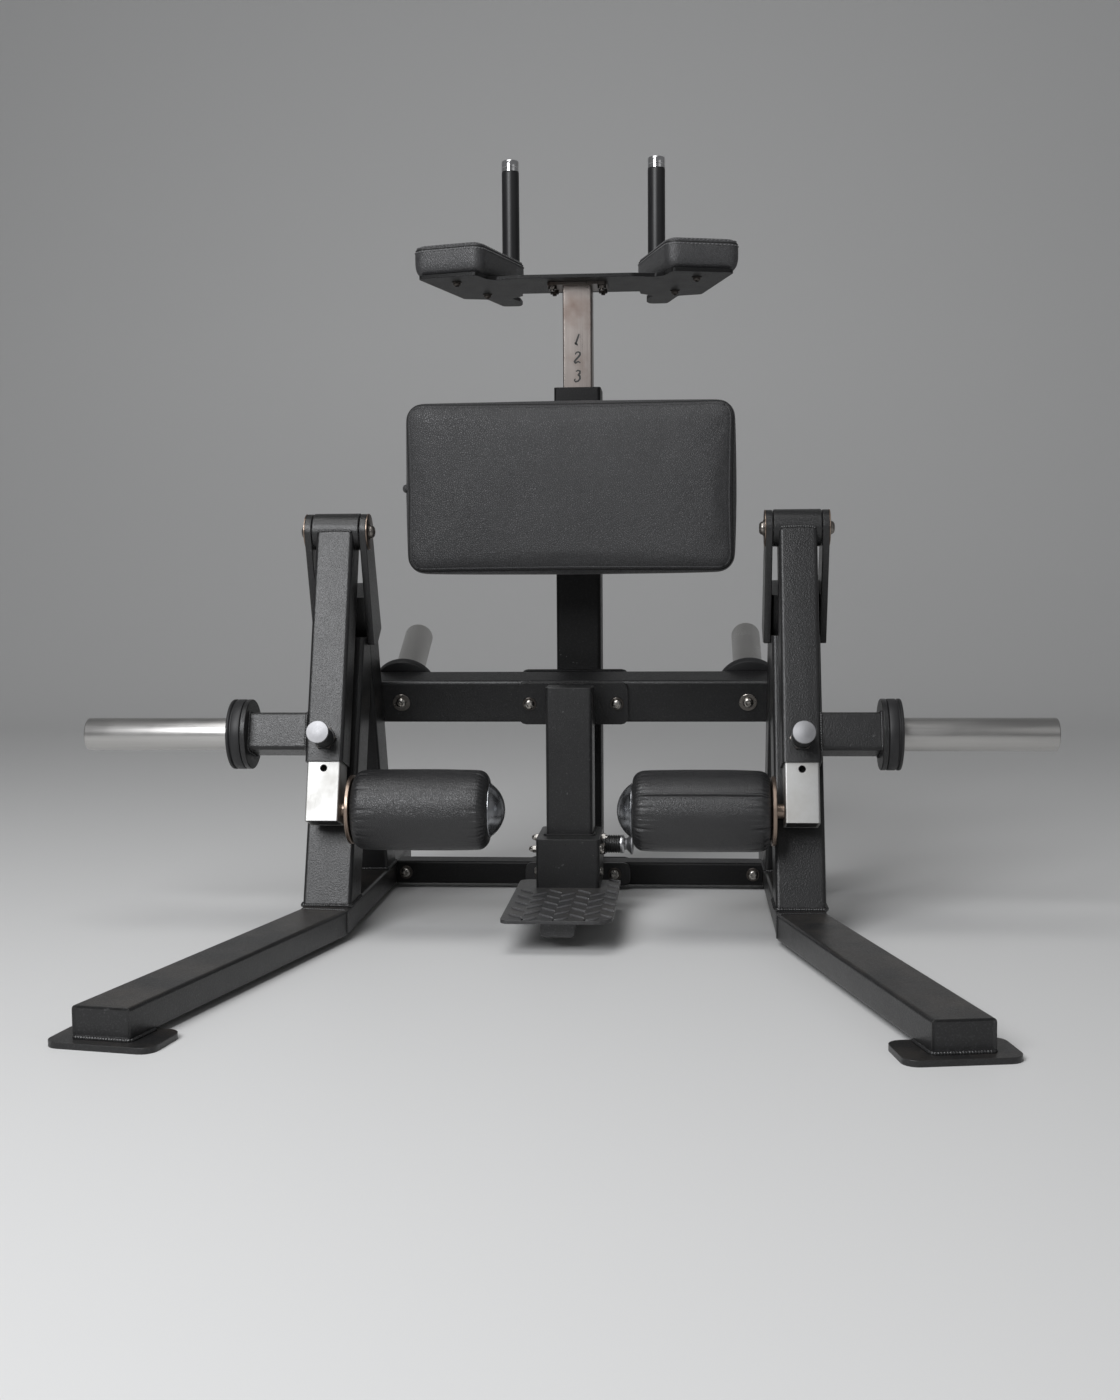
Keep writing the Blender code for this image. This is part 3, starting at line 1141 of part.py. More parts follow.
def build_step(step):
    """Step: a deep sleeve and its liner round the column, standing on the tread plate."""
    bottom = STEP_PLATE_TOP - STEP_SEAT_DEPTH + SEAT_GAP
    top = bottom + STEP_SLEEVE_HEIGHT
    rear = step_sleeve_rear()
    middle = (0, (STEP_SLEEVE_FRONT + rear) / 2)
    sleeve = upright_tube("step_sleeve", STEP_SLEEVE_WIDTH, rear - STEP_SLEEVE_FRONT, TUBE_CORNER, middle,
                          bottom, top, step, "black_steel")
    room = upright_tube("step_sleeve_bore", step_bore(), step_bore(), TUBE_CORNER, (0, STEP_COLUMN_CENTRE),
                        bottom - STEP_LINER, top + STEP_LINER, step, "black_steel")
    combine(sleeve, room, "DIFFERENCE")
    place = step_pin_frame()
    combine(sleeve, pin_boss_guide("step_pin_boss", place, step_side_wall(), step), "UNION")
    combine(sleeve, pin_hole_guide("step_pin_hole", place, step_side_wall(), step), "DIFFERENCE")
    outer = STEP_COLUMN + 2 * (SLIDE_CLEARANCE + STEP_LINER)
    upright_tube("step_liner", outer, outer, TUBE_CORNER, (0, STEP_COLUMN_CENTRE), bottom,
                 top + STEP_LINER_PROUD, step, "black_plastic", wall=STEP_LINER)
    build_tread(step)


def step_sleeve_rear():
    return STEP_COLUMN_CENTRE + step_bore() / 2 + STEP_SLEEVE_WALL


def build_tread(step):
    """Tread plate, notched round the column, with a sunk seat for the sleeve and a spine bar below."""
    half = STEP_PLATE_WIDTH / 2
    notch = STEP_COLUMN / 2 + STEP_NOTCH_CLEARANCE
    notch_front = STEP_COLUMN_FRONT - STEP_NOTCH_CLEARANCE
    corners = [(-half, STEP_PLATE_FRONT), (half, STEP_PLATE_FRONT), (half, STEP_PLATE_REAR),
               (notch, STEP_PLATE_REAR), (notch, notch_front), (-notch, notch_front),
               (-notch, STEP_PLATE_REAR), (-half, STEP_PLATE_REAR)]
    front_left, front_right, rear_right, rear_left = STEP_PLATE_CORNERS
    radii = [front_left, front_right, rear_right, 0.0, 0.0, 0.0, 0.0, rear_left]
    outline = rounded_polygon(corners, radii, steps=4)
    deck = plate("step_tread", outline, STEP_PLATE, Matrix.Translation((0, 0, STEP_PLATE_TOP - STEP_PLATE)),
                 step, "black_steel")
    spine_top = STEP_PLATE_TOP - 0.5 * STEP_PLATE
    spine_bottom = STEP_PLATE_TOP - STEP_PLATE - STEP_SPINE_HEIGHT
    level = (spine_top + spine_bottom) / 2
    outline = rounded_rectangle(STEP_SPINE_WIDTH, spine_top - spine_bottom, TUBE_CORNER)
    back = Vector((0, 1, 0))
    planes = [(Vector((0, depth, 0)), back)
              for depth in (STEP_PLATE_FRONT + STEP_SPINE_SETBACK, notch_front - STEP_NOTCH_CLEARANCE)]
    spine = straight_tube("step_spine", outline, Vector((0, 0, level)), Vector((1, 0, 0)), Vector((0, 0, 1)),
                          back, planes, step, "black_steel")
    combine(deck, spine, "UNION")
    seat_front = STEP_SLEEVE_FRONT - SEAT_GAP
    seat_length = step_sleeve_rear() + SEAT_GAP - seat_front
    outline = rounded_rectangle(STEP_SLEEVE_WIDTH + 2 * SEAT_GAP, seat_length, TUBE_CORNER + SEAT_GAP)
    place = Matrix.Translation((0, seat_front + seat_length / 2, STEP_PLATE_TOP - STEP_SEAT_DEPTH))
    seat = plate("step_seat", outline, STEP_SEAT_DEPTH + CUT_OVERSHOOT, place, step, "black_steel")
    combine(deck, seat, "DIFFERENCE")


def main():
    clear_scene()
    root = empty("machine", location=(0.0, -footprint_centre(), 0.0))
    build_frame(root)
    build_moving_arms(root)
    rest = empty("rest_slide", root)
    build_rest(rest)
    build_pin_knob("rest_pin_knob", rest_pin_frame(), COLUMN_WALL, root)
    step = empty("step_slide", root)
    build_step(step)
    build_pin_knob("step_pin_knob", step_pin_frame(), step_side_wall(), step)


main()
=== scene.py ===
"""Looks of the standing hamstring machine: finishes, cushions, fasteners, studio and camera.

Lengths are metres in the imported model's frame. Several places are measured in depth from
the seat of the upper beam, and at() carries them into the frame.
"""

import json
import random
from math import asin, atan2, copysign, cos, exp, pi, radians, sin, tan, tanh

import bmesh
import bpy
from mathutils import Matrix, Vector, noise
from mathutils.bvhtree import BVHTree


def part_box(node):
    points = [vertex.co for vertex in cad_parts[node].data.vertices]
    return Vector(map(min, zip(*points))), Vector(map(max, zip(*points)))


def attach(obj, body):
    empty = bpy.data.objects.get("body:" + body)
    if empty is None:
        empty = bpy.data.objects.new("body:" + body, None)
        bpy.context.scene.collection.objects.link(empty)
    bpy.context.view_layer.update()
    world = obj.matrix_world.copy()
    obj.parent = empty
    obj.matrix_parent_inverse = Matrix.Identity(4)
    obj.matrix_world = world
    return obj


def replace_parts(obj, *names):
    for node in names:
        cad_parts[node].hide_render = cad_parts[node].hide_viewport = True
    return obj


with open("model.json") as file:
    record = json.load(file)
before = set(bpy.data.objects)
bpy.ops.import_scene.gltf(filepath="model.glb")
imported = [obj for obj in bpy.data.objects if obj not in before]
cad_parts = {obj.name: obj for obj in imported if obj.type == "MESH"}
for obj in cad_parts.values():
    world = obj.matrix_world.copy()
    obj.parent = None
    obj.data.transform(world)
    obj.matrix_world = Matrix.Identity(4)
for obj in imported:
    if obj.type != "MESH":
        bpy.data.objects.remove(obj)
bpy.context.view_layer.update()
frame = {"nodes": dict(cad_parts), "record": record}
scene = bpy.context.scene

# Places carried over from the part's driving sizes
SIDES = ((-1, "left"), (1, "right"))
DEPTH_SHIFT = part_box("step_column")[0].y + 0.120
SEAT_GAP = 0.0003
SIDE_CENTRE = 0.3575
PIVOT_DEPTH = -0.1696
PIVOT_HEIGHT = 0.6169
PIVOT_TO_POST = 0.0534
EAR_OUTSIDE = 0.0485
ARM_LEAN = radians(16.85)
ARM_TUBE = 0.058
ARM_PIN_DOWN = 0.336
FRAME_TUBE = 0.075
TUBE_CORNER = 0.006
POST_LEAN = radians(18.4)
RAIL_TOP = 0.048
FOOT_PLATE = 0.008
SPLAY = radians(14.25)
SPLAY_LENGTH = 0.566
FOOT_TURN = radians(9.5)
BEND_AHEAD = 0.022
BEAM_LEAN = radians(18.0)
BEAM_SEAT = (-0.010, 0.335)
BEAM_DEPTH = 0.050
BEAM_FLANGE = 0.0063
COLUMN_CENTRE = 0.179
REST_POST = 0.051
REST_PIN = (0.0, 0.218, 0.758)
STEP_SLEEVE = 0.101
STEP_LINER = 0.0846
STEP_PIN = (STEP_SLEEVE / 2, -0.0825, 0.109)
HANDLE_OUT = 0.135
HANDLE_DEPTH = 0.345
PEG_OUT = 0.294
PIN_BOSS_RADIUS = 0.0135
PIN_BOSS_HEIGHT = 0.036
PIN_WALL = 0.003
FLANGE_UNDERSIDE = 1.0487
PLATE_UNDERSIDE = 1.054
PLATE_TOP = 1.060
REST_SEAT = PLATE_TOP + SEAT_GAP


def at(x, depth, height):
    return Vector((x, depth + DEPTH_SHIFT, height))


def facing(origin, outward, across=(1, 0, 0)):
    """Placement whose Z points outward from a face."""
    z_axis = Vector(outward).normalized()
    y_axis = z_axis.cross(Vector(across)).normalized()
    x_axis = y_axis.cross(z_axis)
    matrix = Matrix((x_axis, y_axis, z_axis)).transposed().to_4x4()
    matrix.translation = origin
    return matrix


def arm_place(side):
    """Frame of an arm: -Z runs down the arm and +Y is its back."""
    pivot = at(side * SIDE_CENTRE, PIVOT_DEPTH, PIVOT_HEIGHT)
    return Matrix.Translation(pivot) @ Matrix.Rotation(-ARM_LEAN, 4, "X")


def arm_side(side, out, down, way):
    """Placement beside an arm, OUT from the machine's middle, whose Z points the WAY of X."""
    spot = arm_place(side) @ Vector((side * (out - SIDE_CENTRE), 0.0, -down))
    return facing(spot, (way, 0, 0), (0, -1, 0))


def configured(thing, **settings):
    """The same thing with its settings made."""
    for name, value in settings.items():
        setattr(thing, name, value)
    return thing


# Materials
def times(colour, share):
    return tuple(channel * share for channel in colour)


def blank(name):
    material = bpy.data.materials.new(name)
    material.use_nodes = True
    return material, material.node_tree, material.node_tree.nodes["Principled BSDF"]


def fed(tree, node, inputs):
    """Give a node's inputs, named or numbered, their values or the outputs that drive them."""
    for key, value in inputs.items():
        if isinstance(value, bpy.types.NodeSocket):
            tree.links.new(value, node.inputs[key])
        else:
            node.inputs[key].default_value = value
    return node


def added(tree, kind, inputs=None, **settings):
    """New node with its settings and inputs."""
    return fed(tree, configured(tree.nodes.new(kind), **settings), inputs or {})


def mapped(tree, stretch=(1, 1, 1)):
    coords = added(tree, "ShaderNodeTexCoord").outputs["Object"]
    return added(tree, "ShaderNodeMapping", {"Vector": coords, "Scale": stretch}).outputs["Vector"]


def grain(tree, vector, scale, detail=3.0, rough=0.55):
    inputs = {"Vector": vector, "Scale": scale, "Detail": detail, "Roughness": rough}
    return added(tree, "ShaderNodeTexNoise", inputs).outputs["Fac"]


def cells(tree, vector, scale):
    inputs = {"Vector": vector, "Scale": scale}
    return added(tree, "ShaderNodeTexVoronoi", inputs, feature="DISTANCE_TO_EDGE").outputs["Distance"]


def spread(tree, value, low, high, from_low=0.0, from_high=1.0):
    inputs = {"Value": value, "To Min": low, "To Max": high, "From Min": from_low, "From Max": from_high}
    return added(tree, "ShaderNodeMapRange", inputs).outputs["Result"]


def maths(tree, operation, first, second):
    return added(tree, "ShaderNodeMath", {0: first, 1: second}, operation=operation).outputs[0]


def ramp(tree, value, stops):
    node = added(tree, "ShaderNodeValToRGB", {"Fac": value})
    element = node.color_ramp.elements
    while len(element) < len(stops):
        element.new(0.5)
    for stop, (place, colour) in zip(element, stops):
        configured(stop, position=place, color=(*colour, 1.0))
    return node.outputs["Color"]


def blended(tree, factor, *colours):
    """Mix of two colours, each a node's output or three numbers."""
    first, second = (c if isinstance(c, bpy.types.NodeSocket) else (*c, 1.0) for c in colours)
    return added(tree, "ShaderNodeMix", {0: factor, 6: first, 7: second}, data_type="RGBA").outputs[2]


def rounded_normal(tree, radius):
    return added(tree, "ShaderNodeBevel", {"Radius": radius}, samples=4).outputs["Normal"]


def bump(tree, shader, heights, normal=None):
    """Chain of bumps into the shader, from (height, strength, distance) triples."""
    for height, strength, distance in heights:
        node = added(tree, "ShaderNodeBump", {"Height": height, "Strength": strength, "Distance": distance})
        if normal is not None:
            tree.links.new(normal, node.inputs["Normal"])
        normal = node.outputs["Normal"]
    tree.links.new(normal, shader.inputs["Normal"])


def lit_worn_edges(tree, vector, rounded, amount):
    """Broken lighter line along the edges, where the rounded normal leaves the true one: partly worn paint
    and partly a painted highlight of the corners.
    """
    flat = added(tree, "ShaderNodeNewGeometry").outputs["Normal"]
    turn = added(tree, "ShaderNodeVectorMath", {0: flat, 1: rounded}, operation="DOT_PRODUCT")
    edge = spread(tree, turn.outputs["Value"], amount, 0.0, 0.88, 0.992)
    broken = spread(tree, grain(tree, vector, 75.0, 6.0, 0.7), 0.25, 1.0, 0.35, 0.62)
    return maths(tree, "MULTIPLY", edge, broken)


def upward(tree, value):
    """A value that fades to nothing on faces that do not look up."""
    flat = added(tree, "ShaderNodeNewGeometry").outputs["Normal"]
    rise = added(tree, "ShaderNodeSeparateXYZ", {0: flat}).outputs["Z"]
    return maths(tree, "MULTIPLY", spread(tree, rise, 0.0, 1.0, 0.6, 0.95), value)


def powder_coat(name, tone=0.0125, rough=0.315, peel=0.30, edge_light_and_wear=0.55, gloss=0.5, dust=0.0):
    """Black powder coat: orange peel, faint lighter specks on its peaks that are a painted highlight,
    scuffs, thin lighter edges that are partly worn paint and partly a painted highlight, and dust on top.
    """
    material, tree, shader = blank(name)
    vector = mapped(tree)
    low, high = times((0.90, 0.90, 0.93), tone), times((1.12, 1.12, 1.15), tone)
    shade = ramp(tree, grain(tree, vector, 9.0, 5.0, 0.6), ((0.34, low), (0.68, high)))
    pimples = grain(tree, vector, 430.0, 3.0, 0.6)
    # Lighter specks on the orange peel's peaks: a painted highlight of the grain.
    shade = blended(tree, spread(tree, pimples, 0.0, 0.9, 0.52, 0.70), shade, times((2.4, 2.4, 2.5), tone))
    scuffs = spread(tree, grain(tree, vector, 85.0, 2.0, 0.8), 0.0, 0.55, 0.71, 0.76)
    shade = blended(tree, scuffs, shade, (0.11, 0.11, 0.11))
    if dust:
        film = spread(tree, grain(tree, vector, 12.0, 8.0, 0.65), 0.0, dust, 0.42, 0.72)
        shade = blended(tree, upward(tree, film), shade, (0.075, 0.064, 0.054))
    rounded = rounded_normal(tree, 0.0014)
    # Lighter edges: partly worn paint, partly a painted highlight where the corners catch the light.
    shade = blended(tree, lit_worn_edges(tree, vector, rounded, edge_light_and_wear), shade, (0.070, 0.068, 0.065))
    cloud = spread(tree, grain(tree, vector, 30.0, 5.0, 0.6), rough - 0.02, rough + 0.03, 0.3, 0.7)
    dull = maths(tree, "ADD", cloud, spread(tree, pimples, 0.035, -0.035, 0.35, 0.65))
    fed(tree, shader, {"Base Color": shade, "Roughness": dull, "Specular IOR Level": gloss})
    fine = grain(tree, vector, 620.0, 2.0, 0.55)
    bump(tree, shader, ((pimples, peel, 0.0016), (fine, peel, 0.0006)), rounded)
    return material


def brushed(name, colour, stretch, rough=0.24, tone=0.10, streak=0.16, stain=None):
    """Bare metal with fine streaks drawn out by STRETCH, and stains where given."""
    material, tree, shader = blank(name)
    streaks = grain(tree, mapped(tree, stretch), 1.0, 6.0, 0.7)
    cloud = grain(tree, mapped(tree), 16.0, 4.0)
    shade = ramp(tree, streaks, ((0.25, times(colour, 1 - 2 * tone)), (0.75, colour)))
    if stain:
        shade = blended(tree, spread(tree, cloud, 0.0, 0.85, 0.45, 0.75), shade, stain)
    dull = maths(tree, "ADD", spread(tree, streaks, -streak / 2, streak / 2, 0.25, 0.75),
                 spread(tree, cloud, rough - 0.04, rough + 0.08, 0.3, 0.7))
    fed(tree, shader, {"Metallic": 1.0, "Base Color": shade, "Roughness": dull})
    bump(tree, shader, ((streaks, 0.10, 0.0004),), rounded_normal(tree, 0.0008))
    return material


def polished(name, colour, rough=0.09):
    """Plated metal with a faint smear."""
    material, tree, shader = blank(name)
    vector = mapped(tree)
    smear = grain(tree, vector, 60.0, 5.0)
    shade = ramp(tree, smear, ((0.35, colour), (0.8, times(colour, 0.86))))
    dull = spread(tree, smear, rough, rough + 0.10, 0.4, 0.8)
    fed(tree, shader, {"Metallic": 1.0, "Base Color": shade, "Roughness": dull})
    bump(tree, shader, ((grain(tree, vector, 300.0, 2.0), 0.02, 0.0003),))
    return material


def leather(name, low, high, rough=0.43, scale=270.0, pebbled=0.75, gloss=0.5, wrinkle=1.0, sheen=0.06):
    """Pebbled leather cloth with soft creases, and painted shade in the grain's valleys."""
    material, tree, shader = blank(name)
    vector = mapped(tree)
    pebble = spread(tree, cells(tree, vector, scale), 0.0, 1.0, 0.0, 0.26)
    shade = ramp(tree, grain(tree, vector, 11.0, 5.0, 0.6), ((0.32, low), (0.70, high)))
    # Base colour darker in the pebble grain's valleys: painted shade.
    fed(tree, shader, {"Base Color": blended(tree, pebble, times(low, 0.5), shade),
                       "Roughness": spread(tree, pebble, rough + 0.14, rough - 0.04),
                       "Specular IOR Level": gloss, "Sheen Weight": sheen, "Sheen Roughness": 0.5})
    crease = grain(tree, mapped(tree, (1.0, 1.0, 2.2)), 42.0, 6.0, 0.62)
    pull = grain(tree, mapped(tree, (17.0, 17.0, 2.4)), 1.0, 3.0, 0.5)
    bump(tree, shader, ((pull, 0.30 * wrinkle, 0.0060), (crease, 0.16 * wrinkle, 0.0012),
                        (pebble, pebbled, 0.0009)))
    return material


def matt(name, low, high, rough, scale=500.0, depth=0.2, round_edge=0.0008, vary=0.06):
    """Rubber, plastic, thread or paint without gloss."""
    material, tree, shader = blank(name)
    vector = mapped(tree)
    broad = grain(tree, vector, 18.0, 5.0)
    fed(tree, shader, {"Base Color": ramp(tree, broad, ((0.30, low), (0.72, high))),
                       "Roughness": spread(tree, broad, rough - vary, rough + vary, 0.3, 0.7)})
    normal = rounded_normal(tree, round_edge) if round_edge else None
    bump(tree, shader, ((grain(tree, vector, scale, 3.0), depth, 0.0004),), normal)
    return material


black_steel = powder_coat("black_powder_coat")
# Darker copy of the powder coat: painted shade for parts that sit in shade.
painted_shade_steel = powder_coat("black_powder_coat_dim", 0.0055, 0.41, 0.20, 0.35, 0.22)
# Floor rails and foot plates: more worn paint and painted edge highlight, and dust on top.
floor_steel = powder_coat("black_powder_coat_worn", 0.0150, 0.32, 0.20, 0.8, 0.45, 0.6)
tread_steel = powder_coat("black_powder_coat_tread", 0.036, 0.34, 0.25, 1.0, 0.5, 0.4)
bar_steel = powder_coat("black_powder_coat_bars", 0.080, 0.22, 0.10, 1.0, 0.8)
weld_steel = powder_coat("black_powder_coat_weld", 0.0150, 0.25, 0.12, 0.0, 0.65)
sleeve_steel = brushed("turned_steel", (0.56, 0.55, 0.536), (9.0, 420.0, 420.0), rough=0.33, tone=0.05,
                       streak=0.08)
peg_steel = brushed("turned_steel_peg", (0.60, 0.59, 0.575), (30.0, 700.0, 700.0), rough=0.30, tone=0.06)
tube_steel = brushed("ground_steel", (0.53, 0.53, 0.52), (700.0, 700.0, 12.0), rough=0.47, tone=0.05,
                     streak=0.10, stain=(0.40, 0.385, 0.36))
post_steel = brushed("ground_steel_post", (0.24, 0.215, 0.20), (420.0, 420.0, 7.0), rough=0.34, tone=0.12,
                     stain=(0.12, 0.085, 0.070))
warm_steel = brushed("warm_steel", (0.40, 0.31, 0.25), (400.0, 400.0, 400.0), rough=0.32, tone=0.10)
bronze_steel = brushed("bronze_steel", (0.13, 0.10, 0.085), (300.0, 300.0, 300.0), rough=0.36, tone=0.15)
chrome = polished("chrome_plate", (0.72, 0.72, 0.73))
aluminium = brushed("turned_aluminium", (0.56, 0.56, 0.57), (350.0, 350.0, 350.0), rough=0.30, tone=0.03,
                    streak=0.06)
knob_metal = brushed("turned_knob", (0.34, 0.34, 0.35), (260.0, 260.0, 260.0), rough=0.49, tone=0.06,
                     streak=0.10)
satin = polished("satin_chrome", (0.42, 0.43, 0.45), 0.24)
zinc = polished("zinc_plate", (0.46, 0.44, 0.41), 0.24)
# Darker copy of the zinc plate: painted shade on the pivot heads; also the beam's end washers.
shaded_zinc = polished("zinc_plate_aged", (0.27, 0.25, 0.23), 0.26)
dark_zinc = polished("dark_zinc_plate", (0.10, 0.09, 0.082), 0.32)
rubber = matt("black_rubber", (0.013, 0.013, 0.014), (0.021, 0.021, 0.022), 0.50)
foam = matt("black_grip", (0.008, 0.008, 0.009), (0.012, 0.012, 0.013), 0.40, 500.0, 0.03, 0.0, 0.02)
plastic = matt("black_plastic_moulded", (0.008, 0.008, 0.008), (0.013, 0.013, 0.013), 0.36, 700.0, 0.12)
hide = leather("black_leather", (0.044, 0.044, 0.046), (0.060, 0.060, 0.062), 0.43, 350.0, 0.52)
hide_arm = leather("black_leather_arm", (0.046, 0.046, 0.048), (0.062, 0.062, 0.065), 0.34, 340.0, 0.38,
                   0.7, sheen=0.01)
hide_roller = leather("black_leather_roller", (0.011, 0.011, 0.012), (0.016, 0.016, 0.018), 0.32, 430.0,
                      0.31, 0.76, 0.15, sheen=0.005)
thread = matt("black_thread", (0.120, 0.120, 0.122), (0.170, 0.170, 0.172), 0.62, 1500.0, 0.3, 0.0)
ink = matt("black_ink", (0.006, 0.006, 0.006), (0.012, 0.012, 0.012), 0.45, 600.0, 0.05, 0.0)
# Near-black bead sunk along the cushions' seams: painted shade of the seam groove.
seam_shade = matt("dark_hollow", (0.003, 0.003, 0.003), (0.006, 0.006, 0.006), 0.8, 300.0, 0.1, 0.0)

FINISH = {"black_steel": black_steel, "bare_steel": sleeve_steel, "chrome": chrome, "aluminium": aluminium,
          "rubber": rubber, "black_plastic": plastic, "leather": hide}
OWN_FINISH = {"rest_post": post_steel, "step_tread": tread_steel}
# The rest plate, collar, pad column and cross member get the darker copy: painted shade.
for name in ("rest_plate", "collar_bush", "pad_column", "base_cross_member"):
    OWN_FINISH[name] = painted_shade_steel
for _, label in SIDES:
    OWN_FINISH[label + "_slide_tube"] = tube_steel
    OWN_FINISH[label + "_roller_shaft"] = warm_steel
    OWN_FINISH[label + "_floor_rail"] = OWN_FINISH[label + "_foot_plate"] = floor_steel

SLOT_OF = {entry["node"]: entry["material_slot"] for entry in frame["record"]["subparts"]}
for name, node in frame["nodes"].items():
    finish = OWN_FINISH.get(name, FINISH[SLOT_OF[name]])
    if not node.material_slots:
        node.data.materials.append(finish)
    for entry in node.material_slots:
        entry.material = finish


def corner_tree():
    """Node group that joins a node's facets and marks its edges over 40 degrees as sharp."""
    tree = bpy.data.node_groups.new("soft_corners", "GeometryNodeTree")
    for way in ("INPUT", "OUTPUT"):
        tree.interface.new_socket("Geometry", in_out=way, socket_type="NodeSocketGeometry")
    angle = added(tree, "GeometryNodeInputMeshEdgeAngle").outputs["Unsigned Angle"]
    sharp = added(tree, "FunctionNodeCompare", {"A": angle, "B": radians(40.0)}, operation="GREATER_THAN")
    sharp, smooth = sharp.outputs["Result"], "GeometryNodeSetShadeSmooth"
    chain = (added(tree, "NodeGroupInput"),
             added(tree, "GeometryNodeMergeByDistance", {"Distance": 0.00001}),
             added(tree, "GeometryNodeRemoveAttribute", {"Name": "custom_normal"}),
             added(tree, smooth, domain="FACE"),
             added(tree, smooth, {"Selection": sharp, "Shade Smooth": False}, domain="EDGE"),
             added(tree, "NodeGroupOutput"))
    for first, second in zip(chain, chain[1:]):
        tree.links.new(first.outputs["Geometry"], second.inputs["Geometry"])
    return tree


SOFT_CORNERS = corner_tree()
for node in frame["nodes"].values():
    configured(node.modifiers.new("Corners", "NODES"), node_group=SOFT_CORNERS)
    configured(node.modifiers.new("Weighted", "WEIGHTED_NORMAL"), keep_sharp=True, weight=80)


# Mesh building
def new_object(name, data):
    item = bpy.data.objects.new(name, data)
    scene.collection.objects.link(item)
    return item


def new_mesh(name, shape):
    mesh = bpy.data.meshes.new(name)
    shape.to_mesh(mesh)
    shape.free()
    return mesh


def piece(name, shape, body, material, smooth=True, angle=40.0):
    bmesh.ops.recalc_face_normals(shape, faces=shape.faces)
    mesh = new_mesh(name, shape)
    if smooth:
        mesh.shade_smooth()
        mesh.set_sharp_from_angle(angle=radians(angle))
    mesh.materials.append(material)
    item = new_object(name, mesh)
    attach(item, body)
    return item


def bridge(shape, loops, closed=False):
    """Faces from each ring of vertices to the next; a ring may be one vertex, and an open row is capped."""
    count = max(len(loop) for loop in loops)
    for first, second in zip(loops, loops[1:] + (loops[:1] if closed else [])):
        for n in range(count):
            after = (n + 1) % count
            low = [first[n], first[after]] if len(first) > 1 else first
            high = [second[after], second[n]] if len(second) > 1 else second
            shape.faces.new(low + high)
    for loop in () if closed else (loops[0], loops[-1]):
        if len(loop) > 1:
            shape.faces.new(loop)


def new_ring(shape, centre, across, up, size, sides):
    turns = (2 * pi * n / sides for n in range(sides))
    return [shape.verts.new(centre + (across * cos(a) + up * sin(a)) * size) for a in turns]


def add_lathe(shape, profile, place, steps=64, closed=False, wobble=None, angles=None):
    """Solid of revolution from (radius, height) pairs; a third entry 6 makes that ring a hexagon."""
    angles = angles or [2 * pi * step / steps for step in range(steps)]
    rings = []
    for radius, height, *sides in profile:
        ring = []
        for angle in angles if radius > 1e-7 else (0.0,):
            here = radius
            if sides:
                wedge = 2 * pi / sides[0]
                here = radius / cos((angle % wedge) - wedge / 2)
            if wobble:
                here = wobble(here, height, angle)
            ring.append(shape.verts.new(place @ Vector((here * cos(angle), here * sin(angle), height))))
        rings.append(ring)
    bridge(shape, rings, closed)


def lathe(name, profile, place, body, material, steps=64, closed=False, angle=40.0):
    shape = bmesh.new()
    add_lathe(shape, profile, place, steps, closed)
    return piece(name, shape, body, material, angle=angle)


def add_bolt(shape, place, radius, height=0.0055, socket=0.0035):
    """Button head with a hexagon socket."""
    rows = [(0, 0), (radius, 0), (radius, 0.25 * height), (0.93 * radius, 0.58 * height),
            (0.78 * radius, 0.84 * height), (0.60 * radius, height), (socket, height, 6),
            (socket, 0.35 * height, 6), (0, 0.30 * height)]
    add_lathe(shape, rows, place, 36)


def add_nut(shape, place, flat=0.0065, height=0.006, stud=0.0035, proud=0.003):
    """Hexagon nut on the end of a stud."""
    add_lathe(shape, [(0, 0), (flat * 1.25, 0), (flat * 1.25, 0.0012), (0, 0.0012)], place, 24)
    add_lathe(shape, [(0, 0.0012), (flat, 0.0012, 6), (flat, height, 6), (stud, height),
                      (stud, height + proud), (0, height + proud)], place, 36)


def add_cap_nut(shape, place, flat=0.0056, height=0.0135):
    """Hexagon nut with a domed cap, on a washer."""
    add_lathe(shape, [(0, 0), (1.35 * flat, 0), (1.35 * flat, 0.0014), (0, 0.0014)], place, 24)
    rows = [(0, 0.0014), (flat, 0.0014, 6), (flat, 0.0068, 6), (0.88 * flat, 0.0074)]
    for step in range(1, 5):
        angle = radians(18.0 * step)
        rows.append((0.86 * flat * cos(angle), 0.0078 + (height - 0.0078) * sin(angle)))
    add_lathe(shape, [*rows, (0, height)], place, 36)


def bolts(name, places, body, material=zinc, washer=0.0115, ring=dark_zinc, **sizes):
    """Bolts of one kind, each on a washer that is dark unless told otherwise."""
    heads, rings = bmesh.new(), bmesh.new()
    top = 0.0018
    for place in places:
        rows = [(0, 0), (washer, 0), (washer, top - 0.0005), (washer - 0.0006, top), (0, top)]
        add_lathe(rings, rows, place, 32)
        add_bolt(heads, place @ Matrix.Translation((0, 0, top)), **sizes)
    piece(name + "_washers", rings, body, ring, angle=30.0)
    piece(name, heads, body, material, angle=30.0)


def resampled(points, step, closed):
    """Points at even steps along a path."""
    line = [Vector(point) for point in points] + ([Vector(points[0])] if closed else [])
    lengths = [(b - a).length for a, b in zip(line, line[1:])]
    total = sum(lengths)
    count = max(2, round(total / step))
    result = []
    walked = 0.0
    index = 0
    for number in range(count + (0 if closed else 1)):
        target = total * number / count
        while index < len(lengths) - 1 and walked + lengths[index] < target:
            walked += lengths[index]
            index += 1
        share = (target - walked) / lengths[index] if lengths[index] else 0.0
        result.append(line[index].lerp(line[index + 1], min(1.0, share)))
    return result


